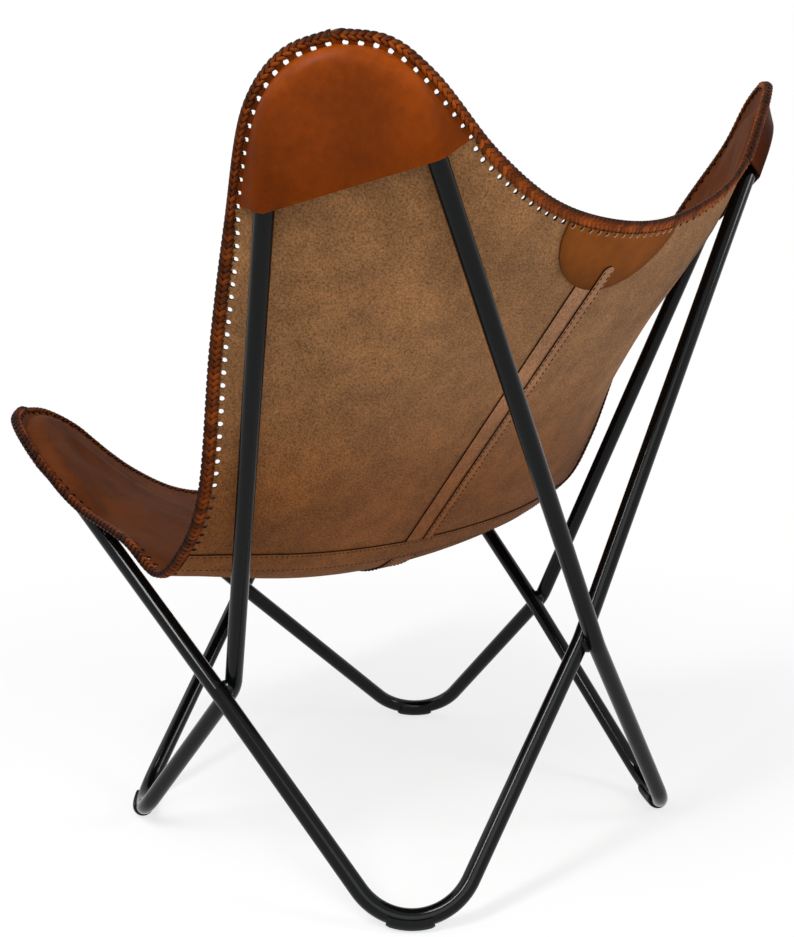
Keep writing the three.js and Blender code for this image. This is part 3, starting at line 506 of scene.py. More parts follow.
def rgba(colour, shade=1.0):
    """A linear colour, made lighter or darker, with full opacity."""
    return (*(min(c * shade, 1.0) for c in colour), 1.0)


# Finishes
def powder_coated_steel(name, colour):
    """Steel under a semi-gloss black powder coat: long soft highlights and a faint orange peel."""
    material, tree, surface, place = new_material(
        name, IOR=1.5, Base_Color=rgba(colour), Specular_IOR_Level=0.16)
    # The peel of a cured powder is about 1.5 mm from bump to bump.
    peel = add_node(tree, "ShaderNodeTexNoise", inputs={
        "Vector": place, "Scale": per_mm(1.5), "Detail": 2.0})
    bump = add_node(tree, "ShaderNodeBump", inputs={
        "Strength": 0.12, "Distance": 0.0002, "Height": peel.outputs["Fac"]})
    rubbed = add_node(tree, "ShaderNodeTexNoise", inputs={
        "Vector": place, "Scale": per_mm(45), "Detail": 5.0, "Roughness": 0.65})
    gloss = add_node(tree, "ShaderNodeMapRange", inputs={
        "Value": rubbed.outputs["Fac"], "From Min": 0.3, "From Max": 0.7, "To Min": 0.1, "To Max": 0.16})
    tree.links.new(gloss.outputs["Result"], surface.inputs["Roughness"])
    tree.links.new(bump.outputs["Normal"], surface.inputs["Normal"])
    return material


def moulded_plastic(name, colour):
    """Injection moulded plastic with a fine spark-eroded matte and floor scuffs."""
    material, tree, surface, place = new_material(name, IOR=1.46, Specular_IOR_Level=0.15)
    spark = add_node(tree, "ShaderNodeTexNoise", inputs={
        "Vector": place, "Scale": per_mm(0.6), "Detail": 3.0})
    bump = add_node(tree, "ShaderNodeBump", inputs={
        "Strength": 0.25, "Distance": 0.0001, "Height": spark.outputs["Fac"]})
    scuff = add_node(tree, "ShaderNodeTexNoise", inputs={
        "Vector": place, "Scale": per_mm(6), "Detail": 6.0, "Roughness": 0.7})
    tone = add_node(tree, "ShaderNodeMix", {"data_type": "RGBA"}, {
        0: scuff.outputs["Fac"], 6: rgba(colour, 0.7), 7: rgba(colour, 1.6)})
    gloss = add_node(tree, "ShaderNodeMapRange", inputs={
        "Value": scuff.outputs["Fac"], "To Min": 0.42, "To Max": 0.62})
    tree.links.new(tone.outputs[2], surface.inputs["Base Color"])
    tree.links.new(gloss.outputs["Result"], surface.inputs["Roughness"])
    tree.links.new(bump.outputs["Normal"], surface.inputs["Normal"])
    return material


def napped_hide(name, colour):
    """The flesh side of a thick hide: short nap, speckled, with soft grey-brown clouds."""
    material, tree, surface, place = new_material(
        name, IOR=1.4, Roughness=0.95, Specular_IOR_Level=0.1, Sheen_Weight=0.04, Sheen_Roughness=0.6)
    clouds = add_node(tree, "ShaderNodeTexNoise", inputs={
        "Vector": place, "Scale": per_mm(130), "Detail": 4.0, "Roughness": 0.55})
    patches = add_node(tree, "ShaderNodeTexNoise", inputs={
        "Vector": place, "Scale": per_mm(26), "Detail": 4.0, "Roughness": 0.6})
    # Single fibres are too fine to show, so the speckle is drawn at 2.2 mm.
    speckle = add_node(tree, "ShaderNodeTexNoise", inputs={
        "Vector": place, "Scale": per_mm(2.2), "Detail": 3.0, "Roughness": 0.7})
    cloudy = add_node(tree, "ShaderNodeMapRange", inputs={
        "Value": clouds.outputs["Fac"], "From Min": 0.35, "From Max": 0.68})
    base = add_node(tree, "ShaderNodeMix", {"data_type": "RGBA"}, {
        0: cloudy.outputs["Result"], 6: rgba(colour, 0.82), 7: rgba(colour, 1.12)})
    patchy = add_node(tree, "ShaderNodeMapRange", inputs={
        "Value": patches.outputs["Fac"], "From Min": 0.36, "From Max": 0.66, "To Min": 0.84, "To Max": 1.1})
    specks = add_node(tree, "ShaderNodeMapRange", inputs={
        "Value": speckle.outputs["Fac"], "From Min": 0.34, "From Max": 0.62, "To Min": 0.5, "To Max": 1.26})
    tone = add_node(tree, "ShaderNodeMath", {"operation": "MULTIPLY"}, {
        0: patchy.outputs["Result"], 1: specks.outputs["Result"]})
    # The hide is made darker and browner towards the bottom.
    height = add_node(tree, "ShaderNodeSeparateXYZ", inputs={"Vector": place})
    low = add_node(tree, "ShaderNodeMapRange", {"interpolation_type": "SMOOTHSTEP"}, {
        "Value": height.outputs["Z"], "From Min": 0.62, "From Max": 0.40})
    darkening = add_node(tree, "ShaderNodeMix", {"data_type": "RGBA"}, {
        0: low.outputs["Result"], 6: (1.0, 1.0, 1.0, 1.0), 7: (0.66, 0.46, 0.22, 1.0)})
    tinted = add_node(tree, "ShaderNodeVectorMath", {"operation": "MULTIPLY"}, {
        0: base.outputs[2], 1: darkening.outputs[2]})
    coloured = add_node(tree, "ShaderNodeVectorMath", {"operation": "SCALE"}, {
        0: tinted.outputs["Vector"], "Scale": tone.outputs["Value"]})
    bump = add_node(tree, "ShaderNodeBump", inputs={
        "Strength": 0.45, "Distance": 0.0006, "Height": speckle.outputs["Fac"]})
    tree.links.new(coloured.outputs["Vector"], surface.inputs["Base Color"])
    tree.links.new(bump.outputs["Normal"], surface.inputs["Normal"])
    return material


def waxed_leather(name, colour, roughness, grain_mm, burnish, shine, polished=False):
    """Vegetable tanned leather, waxed: fine creased grain, cloudy colour, made darker or lighter by a stored
    attribute that holds wear and, on the pockets, painted light and shade.
    """
    material, tree, surface, place = new_material(name, IOR=1.48, Specular_IOR_Level=shine)
    clouds = add_node(tree, "ShaderNodeTexNoise", inputs={
        "Vector": place, "Scale": per_mm(70), "Detail": 5.0, "Roughness": 0.6})
    streaks = add_node(tree, "ShaderNodeTexNoise", inputs={
        "Vector": place, "Scale": per_mm(9), "Detail": 4.0, "Roughness": 0.6})
    cells = add_node(tree, "ShaderNodeTexVoronoi", {"feature": "DISTANCE_TO_EDGE"}, {
        "Vector": place, "Scale": per_mm(grain_mm), "Randomness": 1.0})
    crease = add_node(tree, "ShaderNodeMapRange", inputs={
        "Value": cells.outputs["Distance"], "From Min": 0.0, "From Max": 0.22})
    cloudy = add_node(tree, "ShaderNodeMapRange", inputs={
        "Value": clouds.outputs["Fac"], "From Min": 0.34, "From Max": 0.68, "To Min": 0.72, "To Max": 1.18})
    streaky = add_node(tree, "ShaderNodeMapRange", inputs={
        "Value": streaks.outputs["Fac"], "From Min": 0.3, "From Max": 0.7, "To Min": 0.88, "To Max": 1.1})
    # The attribute holds wear, and on the pockets painted light and shade as well.
    edge = add_node(tree, "ShaderNodeAttribute", {"attribute_name": "burnish"})
    darker = add_node(tree, "ShaderNodeMapRange", inputs={
        "Value": edge.outputs["Fac"], "From Min": -1.0, "From Max": 1.0,
        "To Min": 1.0 + burnish, "To Max": 1.0 - burnish})
    tone = add_node(tree, "ShaderNodeMath", {"operation": "MULTIPLY"}, {
        0: cloudy.outputs["Result"], 1: streaky.outputs["Result"]})
    shade = add_node(tree, "ShaderNodeMath", {"operation": "MULTIPLY"}, {
        0: tone.outputs["Value"], 1: darker.outputs["Result"]})
    coloured = add_node(tree, "ShaderNodeVectorMath", {"operation": "SCALE"}, {
        0: colour, "Scale": shade.outputs["Value"]})
    gloss = add_node(tree, "ShaderNodeMapRange", inputs={
        "Value": streaks.outputs["Fac"], "From Min": 0.3, "From Max": 0.7,
        "To Min": roughness - 0.07, "To Max": roughness + 0.09})
    rough = gloss.outputs["Result"]
    if polished:
        # Hands and heads polish the crown and leave the flaps dull.
        rubbed = add_node(tree, "ShaderNodeAttribute", {"attribute_name": "polish"})
        dull = add_node(tree, "ShaderNodeMapRange", inputs={
            "Value": rubbed.outputs["Fac"], "From Max": 0.7, "To Min": 0.5, "To Max": 0.0})
        worn = add_node(tree, "ShaderNodeMath", {"operation": "ADD"}, {0: rough, 1: dull.outputs["Result"]})
        rough = worn.outputs["Value"]
    bump = add_node(tree, "ShaderNodeBump", inputs={
        "Strength": 0.22, "Distance": 0.0003, "Height": crease.outputs["Result"]})
    tree.links.new(coloured.outputs["Vector"], surface.inputs["Base Color"])
    tree.links.new(rough, surface.inputs["Roughness"])
    tree.links.new(bump.outputs["Normal"], surface.inputs["Normal"])
    return material


def laced_leather(name, colour):
    """Split cowhide lace, waxed and pulled tight: loops of uneven tone times the painted shade of their side,
    with painted shade darkening the rim where the lace turns over the edge.
    """
    material, tree, surface, place = new_material(name, IOR=1.47, Specular_IOR_Level=0.07)
    fibres = add_node(tree, "ShaderNodeTexNoise", inputs={
        "Vector": place, "Scale": per_mm(3), "Detail": 4.0, "Roughness": 0.65})
    loop = add_node(tree, "ShaderNodeAttribute", {"attribute_name": "lace_shade"})
    fibrous = add_node(tree, "ShaderNodeMapRange", inputs={
        "Value": fibres.outputs["Fac"], "From Min": 0.3, "From Max": 0.7, "To Min": 0.72, "To Max": 1.25})
    # Painted shade: the lace is darkened towards the rim, where it turns over the edge.
    rim = add_node(tree, "ShaderNodeAttribute", {"attribute_name": "rim"})
    darkening = add_node(tree, "ShaderNodeMapRange", inputs={
        "Value": rim.outputs["Fac"], "To Min": 1.0, "To Max": 0.12})
    loop_and_rim_shade = add_node(tree, "ShaderNodeMath", {"operation": "MULTIPLY"}, {
        0: loop.outputs["Fac"], 1: darkening.outputs["Result"]})
    tone = add_node(tree, "ShaderNodeMath", {"operation": "MULTIPLY"}, {
        0: fibrous.outputs["Result"], 1: loop_and_rim_shade.outputs["Value"]})
    coloured = add_node(tree, "ShaderNodeVectorMath", {"operation": "SCALE"}, {
        0: colour, "Scale": tone.outputs["Value"]})
    gloss = add_node(tree, "ShaderNodeMapRange", inputs={
        "Value": fibres.outputs["Fac"], "To Min": 0.38, "To Max": 0.6})
    bump = add_node(tree, "ShaderNodeBump", inputs={
        "Strength": 0.25, "Distance": 0.0003, "Height": fibres.outputs["Fac"]})
    tree.links.new(coloured.outputs["Vector"], surface.inputs["Base Color"])
    tree.links.new(gloss.outputs["Result"], surface.inputs["Roughness"])
    tree.links.new(bump.outputs["Normal"], surface.inputs["Normal"])
    return material


def waxed_thread(name, colour):
    """Twisted and waxed linen thread, dull with a slight twist line."""
    material, tree, surface, place = new_material(name, IOR=1.45, Roughness=0.7, Specular_IOR_Level=0.04)
    twist = add_node(tree, "ShaderNodeTexWave", inputs={
        "Vector": place, "Scale": per_mm(1.2) / 3, "Distortion": 2.0})
    tone = add_node(tree, "ShaderNodeMix", {"data_type": "RGBA"}, {
        0: twist.outputs["Fac"], 6: rgba(colour, 0.7), 7: rgba(colour, 1.5)})
    tree.links.new(tone.outputs[2], surface.inputs["Base Color"])
    return material


finishes = {}


def make_finishes(scene):
    """Makes every material once, from the settings."""
    if finishes:
        return finishes
    tubes, sling = scene.chair_frame, scene.chair_sling
    finishes["coat"] = powder_coated_steel("black_powder_coat", tubes.coat)
    finishes["glide"] = moulded_plastic("dark_moulded_plastic", tubes.glide)
    finishes["flesh"] = napped_hide("napped_flesh_side", sling.flesh)
    finishes["grain"] = waxed_leather(
        "waxed_grain_side", tuple(sling.grain), roughness=0.64, grain_mm=1.6, burnish=0.35, shine=0.02)
    finishes["cognac"] = waxed_leather(
        "cognac_waxed_leather", tuple(sling.cognac), roughness=0.36, grain_mm=1.4, burnish=0.75,
        shine=0.06, polished=True)
    finishes["lace"] = laced_leather("waxed_leather_lace", tuple(sling.lace))
    finishes["strip"] = napped_hide("napped_seam_strip", linear(STRIP_COLOUR))
    finishes["patch"] = waxed_leather(
        "brown_waxed_patch", linear(PATCH_COLOUR), roughness=0.64, grain_mm=1.4, burnish=0.4, shine=0.04)
    finishes["raw"] = napped_hide("raw_cut_hole", linear(RAW_COLOUR))
    # Dark burnished edge, whose colour is also painted shade in the holes and along the strip edges.
    finishes["edge"] = waxed_leather(
        "burnished_cut_edge", linear(EDGE_AND_SHADE_COLOUR), roughness=0.5, grain_mm=1.0, burnish=0.0, shine=0.05)
    finishes["thread"] = waxed_thread("waxed_linen_thread", sling.thread)
    return finishes


# Sling surface
def polyline(points):
    """A path through points, read by the share of its length."""
    points = np.asarray(points, float)
    return SimpleNamespace(points=points, lengths=lengths_along(points))


def path_at(path, shares):
    """Points at shares of a path's length."""
    target = np.asarray(shares, float) * path.lengths[-1]
    return np.stack([np.interp(target, path.lengths, path.points[:, k]) for k in range(3)], -1)


def smooth_edge(points, steps=40):
    """A centripetal spline that leaves the middle plane square to it."""
    points = np.asarray(points, float)
    at_middle = abs(points[0][0]) < 1e-6
    if at_middle:
        points = np.vstack([mirrored(points[1]), points])
    padded = np.vstack([2 * points[0] - points[1], points, 2 * points[-1] - points[-2]])
    made = []
    t = np.linspace(0, 1, steps, endpoint=False)[:, None]
    for p0, p1, p2, p3 in zip(padded, padded[1:], padded[2:], padded[3:]):
        d0, d1, d2 = (max(np.linalg.norm(b - a), 1e-9) ** 0.5 for a, b in ((p0, p1), (p1, p2), (p2, p3)))
        m1 = ((p1 - p0) / d0 - (p2 - p0) / (d0 + d1) + (p2 - p1) / d1) * d1
        m2 = ((p2 - p1) / d1 - (p3 - p1) / (d1 + d2) + (p3 - p2) / d2) * d1
        made.append(p1 + t * m1 + t ** 2 * (3 * (p2 - p1) - 2 * m1 - m2) + t ** 3 * (2 * (p1 - p2) + m1 + m2))
    samples = np.vstack(made + [points[-1:]])
    return polyline(samples[steps:] if at_middle else samples)


def nearest_on(path, points):
    """The nearest point of a path for each point."""
    starts, runs = path[:-1], np.diff(path, axis=0)
    offset = points[:, None] - starts[None]
    share = np.clip((offset * runs).sum(-1) / (runs ** 2).sum(-1), 0, 1)
    feet = starts[None] + share[..., None] * runs[None]
    best = np.linalg.norm(points[:, None] - feet, axis=-1).argmin(1)
    return feet[np.arange(len(points)), best]


def fine_lines(lines):
    """Grid lines with more lines between them."""
    parts = [np.linspace(a, b, FINE, endpoint=False) for a, b in zip(lines, lines[1:])]
    return np.concatenate(parts + [[lines[-1]]])


def lifted_over(loop, points, reach):
    """Points of the hide pushed off a tube loop, with a soft bulge between the loop's legs."""
    foot = nearest_on(loop.path, points)
    lift = (points - foot) @ loop.normal
    beside = points - foot - lift[:, None] * loop.normal
    is_inside = (beside * (loop.bend.centre - foot)).sum(1) > 0
    far = np.linalg.norm(beside, axis=1)
    ease = np.clip((TUBE_EASE - far) / (TUBE_EASE - reach), 0, 1)
    ease = ease * ease * (3 - 2 * ease)
    wrap = np.sqrt(np.clip(1 - (far / reach) ** 2, 0, None))
    short = reach * np.where(is_inside, ease, wrap) - lift
    soft = np.where(is_inside, TUBE_SOFTNESS * np.clip((far - reach) / reach, 0, 1), 0)
    return points + ((short + np.hypot(short, soft)) / 2)[:, None] * loop.normal


def sling_half(tubes, rear, front, side, slack, tube_radius, sheet):
    """Points of one half, worked out as a right half and put back on its side."""
    flip = np.array([side, 1, 1])
    middle_bend = make_bend(np.array(SEAT_CORNER), TOP_MIDDLE, FRONT_MIDDLE, SEAT_CORNER_RADIUS)
    arc = bend_at(middle_bend, np.linspace(-middle_bend.sweep, middle_bend.sweep, MIDDLE_ARC_POINTS))
    middle = polyline(np.vstack([TOP_MIDDLE, arc, FRONT_MIDDLE]))
    loops = []
    for name, held in ((rear, REAR_CORNER), (front, FRONT_CORNER)):
        layout = [p * flip for p in tubes[name]]
        bend = make_bend(*layout[:3], BEND_RADIUS)
        normal = unit(np.cross(bend.across, bend.inward))
        normal = normal if normal @ np.array(held.facing) > 0 else -normal
        loops.append(SimpleNamespace(bend=bend, normal=normal, path=tube_path(*layout), held=held))

    def hem(loop, degrees, loose):
        """A hem point beside a loop, at an angle from the loop's tip."""
        angle = math.radians(degrees)
        reach = BEND_RADIUS + tube_radius + loop.held.to_tube
        outward = bend_at(loop.bend, angle, reach) - loop.bend.inward * loose * math.cos(angle)
        return outward + loop.normal * (loop.held.inset + loop.held.twist * max(math.sin(angle), 0))

    def corner(loop, angles, loose):
        """Hem points beside a loop at several angles."""
        return [hem(loop, a, loose) for a in angles]

    rear_loop, front_loop = loops
    rear_tip, front_tip = hem(rear_loop, 0, slack), hem(front_loop, 0, FRONT_SLACK)
    top = smooth_edge([TOP_MIDDLE, *TOP_HEM, *corner(rear_loop, HEM_MIDDLE_ANGLES, slack), rear_tip])
    side_hem = np.array(SIDE_HEM) if side > 0 else np.add(SIDE_HEM, LEFT_HEM_SHIFT)
    side_edge = smooth_edge([
        rear_tip, *corner(rear_loop, HEM_SIDE_ANGLES, slack), *side_hem,
        *corner(front_loop, HEM_SIDE_ANGLES[::-1], FRONT_SLACK), front_tip])
    bottom = smooth_edge([
        FRONT_MIDDLE, *FRONT_HEM, *corner(front_loop, HEM_MIDDLE_ANGLES, FRONT_SLACK), front_tip])
    across = fine_lines(ACROSS_LINES)
    along = fine_lines(ALONG_LINES)
    share = np.stack([across, across ** FLATNESS, across ** FLATNESS], -1)[None]
    led = along + SIDE_LEAD * np.sin(math.pi * along) ** 2
    spread = (1 - share) * path_at(middle, along)[:, None] + share * path_at(side_edge, led)[:, None]
    share = share[0]
    top_off = path_at(top, across) - ((1 - share) * TOP_MIDDLE + share * rear_tip)
    front_off = path_at(bottom, across) - ((1 - share) * FRONT_MIDDLE + share * front_tip)
    pull = along[:, None, None]
    grid = spread + (1 - pull) ** END_PULL * top_off[None] + pull ** END_PULL * front_off[None]
    points = grid.reshape(-1, 3)
    for loop in loops:
        points = lifted_over(loop, points, tube_radius + sheet / 2 + loop.held.standoff)
    return points.reshape(grid.shape) * flip, [-loop.normal * flip for loop in loops]


def grid_normals(grid):
    """Directions square to a grid of points, towards the sitter."""
    down = np.gradient(grid, axis=0)
    over = np.gradient(grid, axis=1)
    return unit(np.cross(down, over))


def smooth_round(values, passes):
    """Evens out values round a closed edge."""
    for _ in range(passes):
        values = (np.roll(values, 1, axis=0) + 2 * values + np.roll(values, -1, axis=0)) / 4
    return values


sling_cache = {}


def lay_out_sling(scene):
    """The whole sling: its grid, the normals, and the frame of its hem, in millimetres."""
    if sling_cache:
        return SimpleNamespace(**sling_cache)
    radius = half_tube(scene)
    sheet = scene.chair_sling.sheet * MM
    tubes = lay_out_tubes(radius)
    right, right_out = sling_half(
        tubes, "rear_right_top_loop", "front_right_top_loop", 1, 0.0, radius, sheet)
    left, left_out = sling_half(
        tubes, "rear_left_top_loop", "front_left_top_loop", -1, REAR_LEFT_SLACK, radius, sheet)
    grid = np.concatenate([left[:, :0:-1], right], axis=1)
    normals = grid_normals(grid)
    rows, columns = grid.shape[:2]
    places = [(0, c) for c in range(columns)]
    places += [(r, columns - 1) for r in range(1, rows)]
    places += [(rows - 1, c) for c in range(columns - 2, -1, -1)]
    places += [(r, 0) for r in range(rows - 2, 0, -1)]
    index = tuple(np.array(places).T)
    points = grid[index]
    along = unit(np.roll(points, -1, axis=0) - np.roll(points, 1, axis=0))
    normal = unit(smooth_round(normals[index], NORMAL_PASSES))
    outward = unit(smooth_round(unit(np.cross(normal, along)), OUTWARD_PASSES))
    square = unit(np.cross(along, outward))
    sling_cache.update(
        tubes=tubes, grid=grid, normals=normals, places=places, rows=rows, columns=columns,
        middle=columns // 2, seam=SEAM_LINE * FINE, corner=POCKET_LINES * FINE,
        hem=points, outward=outward, square=square,
        order={place: k for k, place in enumerate(places)},
        outside={"rear_right": right_out[0], "rear_left": left_out[0],
                 "front_right": right_out[1], "front_left": left_out[1]})
    return SimpleNamespace(**sling_cache)


# Frame tubes and panels
def ride(piece, nodes):
    """Puts a piece on the chair's one body in the place of its solids."""
    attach(piece, "root")
    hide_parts(*nodes)


class CHAIR_OT_frame_tubes(bpy.types.Operator):
    """Sweeps the eight bent tube lengths of the frame"""
    bl_idname = "chair.frame_tubes"
    bl_label = "Frame tubes"

    def execute(self, context):
        """Makes one piece for each length between two crossings."""
        radius = half_tube(context.scene)
        coat = make_finishes(context.scene)["coat"]
        for name, layout in lay_out_tubes(radius).items():
            points, faces = sweep_round(tube_path(*layout), radius)
            tube = new_piece("bent_" + name, points, faces, [coat])
            ride(tube, [name])
        return {"FINISHED"}


class CHAIR_OT_sling_panels(bpy.types.Operator):
    """Builds the four hide panels of the sling"""
    bl_idname = "chair.sling_panels"
    bl_label = "Sling panels"

    def execute(self, context):
        """Makes two back panels and two seat panels."""
        sling = lay_out_sling(context.scene)
        settings = context.scene.chair_sling
        leather = make_finishes(context.scene)
        sheets = {
            "right_back_panel": (1, 0, sling.seam), "left_back_panel": (-1, 0, sling.seam),
            "right_seat_panel": (1, sling.seam, sling.rows - 1),
            "left_seat_panel": (-1, sling.seam, sling.rows - 1),
        }
        tree, line = punching_tree(), hole_line(sling, settings.pitch * MM, 0.0)
        for name, (side, first, last) in sheets.items():
            surface = panel_patch(sling, side, first, last, settings.hem * MM)
            panel = sheet_piece(
                "hide_" + name, surface, settings.sheet * MM,
                [leather["grain"], leather["flesh"], leather["flesh"], leather["edge"]])
            # The hole walls take the dark edge colour as painted shade.
            punched(panel, tree, line, settings, leather["edge"])
            ride(panel, [name])
        drop(line)
        return {"FINISHED"}


def panel_patch(sling, side, first, last, hem_width):
    """Points, normals and faces of one panel with its hem."""
    steps = np.arange(sling.middle + 1)
    columns = sling.middle + side * steps
    edge_row = 0 if first == 0 else sling.rows - 1
    points, normals, quads, known = [], [], [], {}

    def place(row, step, ring):
        """Number of the point at a row and a step from the middle, or out on a ring of the hem."""
        key = (row, step, ring)
        if key not in known:
            spot = (row, columns[step])
            base, normal = sling.grid[spot].copy(), sling.normals[spot]
            k = sling.order.get(spot)
            if k is not None:
                normal = sling.square[k]
                base = base + sling.outward[k] * hem_width * ring / HEM_RINGS
            if step == 0:
                base[0] += side * PANEL_GAP
            if row == sling.seam:
                inner = row + 1 if first == sling.seam else row - 1
                base = base + PANEL_GAP * unit(sling.grid[inner, columns[step]] - sling.grid[spot])
            known[key] = len(points)
            points.append(base)
            normals.append(normal)
        return known[key]

    def quad(a, b, c, d):
        """Adds a face that looks to the same side on both halves."""
        quads.append((a, b, c, d) if side > 0 else (d, c, b, a))

    end = sling.middle
    for row in range(first, last):
        for step in range(end):
            quad(place(row, step, 0), place(row + 1, step, 0),
                 place(row + 1, step + 1, 0), place(row, step + 1, 0))
        for ring in range(HEM_RINGS):
            quad(place(row, end, ring), place(row + 1, end, ring),
                 place(row + 1, end, ring + 1), place(row, end, ring + 1))
    for step in range(end):
        for ring in range(HEM_RINGS):
            corners = (place(edge_row, step, ring), place(edge_row, step + 1, ring),
                       place(edge_row, step + 1, ring + 1), place(edge_row, step, ring + 1))
            quad(*(corners if edge_row == 0 else corners[::-1]))
    return np.array(points), np.array(normals), quads


# Pockets
def pocket_places(sling, corner):
    """Hem places of a pocket, from one leg of its loop over the tip to the other."""
    last_row, last_column, reach = sling.rows - 1, sling.columns - 1, sling.corner
    row = 0 if corner.startswith("rear") else last_row
    column = last_column if corner.endswith("right") else 0
    step_row, step_column = (1 if row == 0 else -1), (1 if column == 0 else -1)
    sides = [(row + step_row * k, column) for k in range(reach, 0, -1)]
    ends = [(row, column + step_column * k) for k in range(1, reach + 1)]
    places = sides + [(row, column)] + ends
    return places if corner in SIDE_FIRST_CORNERS else places[::-1]


def mouth_slides(starts, feet, outside):
    """How far each line of a leaf slides along its leg, so that the mouth runs straight from hem to hem."""
    slides = np.zeros_like(starts)
    mouth = starts[-1] - starts[0]
    half = len(starts) // 2
    legs = ((slice(0, half), feet[1] - feet[0]), (slice(-1, -half - 1, -1), feet[-2] - feet[-1]))
    for lines, onward in legs:
        leg = unit(onward)
        first = lines.start
        slide = outside @ np.cross(starts[first] - feet[first], mouth) / (outside @ np.cross(leg, mouth))
        near = np.clip(1 - np.linalg.norm(feet[lines] - feet[first], axis=1) / POCKET_MOUTH_EASE, 0, None)
        slides[lines] += near[:, None] * slide * leg
    return slides


def pocket_leaf(sling, corner, tube_radius, sheet, leaf):
    """A leaf of leather from the hem over the outside of a tube loop, bridged between its legs."""
    outside = sling.outside[corner]
    order = [sling.order[place] for place in pocket_places(sling, corner)]
    path = tube_path(*sling.tubes[corner + "_top_loop"])
    under = (sheet + leaf) / 2 + SEWN_GAP
    start = sling.hem[order] - sling.square[order] * under
    rim = start + sling.outward[order] * POCKET_RIM
    foot = nearest_on(path, start)
    offset = start - foot
    depth = -(offset @ outside)
    beside = offset + depth[:, None] * outside
    away = unit(beside)
    width = np.linalg.norm(beside, axis=1)
    reach = tube_radius + leaf / 2 + POCKET_STANDOFF
    touch = np.arctan2(-depth, width) + np.arccos(np.clip(reach / np.hypot(width, depth), None, 1))
    middle = foot + mouth_slides(start, foot, outside)

    def round_tube(angle):
        """A line of points at an angle round the tube."""
        return middle + reach * (np.cos(angle)[:, None] * away + np.sin(angle)[:, None] * outside)

    first = round_tube(touch)
    lines = [rim, (rim + start) / 2]
    lines += [start + (first - start) * share for share in POCKET_LEAD]
    for step in range(POCKET_RINGS):
        lines.append(round_tube(touch + step / (POCKET_RINGS - 1) * (math.pi / 2 - touch)))
    lines = np.array(lines)
    count, length = len(lines), len(order)
    points = [lines.reshape(-1, 3)]
    quads = grid_faces(count, length)
    top = (count - 1) * length
    tip, spans = length // 2, POCKET_SPANS
    made = count * length
    bridges = []
    for k in range(tip):
        share = np.linspace(0, 1, spans + 1)[1:-1, None]
        chord = lines[-1, k] * (1 - share) + lines[-1, length - 1 - k] * share
        points.append(chord)
        inner = list(range(made, made + spans - 1))
        made += spans - 1
        bridges.append([top + k, *inner, top + length - 1 - k])
    for here, following in zip(bridges, bridges[1:]):
        for k in range(spans):
            quads.append((here[k], here[k + 1], following[k + 1], following[k]))
    for k in range(spans):
        quads.append((bridges[-1][k], bridges[-1][k + 1], top + tip))
    points = np.vstack(points)
    past = np.linalg.norm(points - nearest_on(path, points), axis=1) - reach
    return points, quads, *pocket_wear_and_shade(corner, points, start, past)


def pocket_wear_and_shade(corner, points, start, past):
    """How dark, from wear and from painted light and shade, and how polished each point of a leaf is, from
    its distance past the tube.
    """
    near = np.clip(1 - past / POCKET_WEAR_AND_SHADE_REACH, 0, 1) ** WEAR_AND_SHADE_FALLOFF
    mouth = start[-1] - start[0]
    over = np.clip((points - start[0]) @ mouth / (mouth @ mouth), 0, 1)
    over = over if corner in SIDE_FIRST_CORNERS else 1 - over
    from_tip = np.linalg.norm(points - start[len(start) // 2], axis=1)
    crown = np.clip(1 - from_tip / POCKET_CROWN_REACH, 0, 1)
    # Worn lighter over the tube, most at the crown, with painted light towards the far leg and painted shade
    # on the near leg; the rear left pocket is painted shade all over, darkest by the tube.
    if corner == "rear_left":
        return REAR_LEFT_PAINTED_SHADE * (1 + near), crown
    worn = near * (CROWN_WEAR * crown + FAR_LEG_PAINTED_LIGHT * over - WEAR_START)
    return NEAR_LEG_PAINTED_SHADE * (1 - over) ** 2 - worn, crown


def point_normals(points, quads):
    """Directions square to a patch at each of its points."""
    total = np.zeros_like(points)
    for quad in quads:
        a, b, c = points[quad[0]], points[quad[1]], points[quad[2]]
        d = points[quad[3]] if len(quad) == 4 else c
        face = np.cross(c - a, d - b) if len(quad) == 4 else np.cross(b - a, c - a)
        for k in quad:
            total[k] += face
    return unit(total)


class CHAIR_OT_pockets(bpy.types.Operator):
    """Builds the four pocket leaves that hang the sling on the loops"""
    bl_idname = "chair.pockets"
    bl_label = "Pockets"

    def execute(self, context):
        """Makes one leaf for each tube loop."""
        sling = lay_out_sling(context.scene)
        settings = context.scene.chair_sling
        leather = make_finishes(context.scene)
        sheet, leaf = settings.sheet * MM, settings.pocket_sheet * MM
        tree, line = punching_tree(), hole_line(sling, settings.pitch * MM, (sheet + leaf) / 2 + SEWN_GAP)
        for corner in sling.outside:
            points, quads, burnish, polish = pocket_leaf(
                sling, corner, half_tube(context.scene), sheet, leaf)
            normals = point_normals(points, quads)
            if (normals.mean(axis=0) @ sling.outside[corner]) > 0:
                quads = [quad[::-1] for quad in quads]
                normals = -normals
            pocket = sheet_piece(
                "leather_" + corner + "_pocket", (points, normals, quads), leaf,
                [leather["flesh"], leather["cognac"], leather["cognac"], leather["edge"]])
            # The stored values hold wear and painted light and shade.
            store_float(pocket.data, "burnish", np.tile(burnish, 2))
            store_float(pocket.data, "polish", np.tile(polish, 2))
            # The hole walls take the dark edge colour as painted shade.
            punched(pocket, tree, line, settings, leather["edge"])
            ride(pocket, [corner + "_pocket"])
        drop(line)
        return {"FINISHED"}


# Lacing, holes and stitches along lines on the sling
def chain(count, first=0):
    """Edges that join a run of points one after the other."""
    return [(first + k, first + k + 1) for k in range(count - 1)]


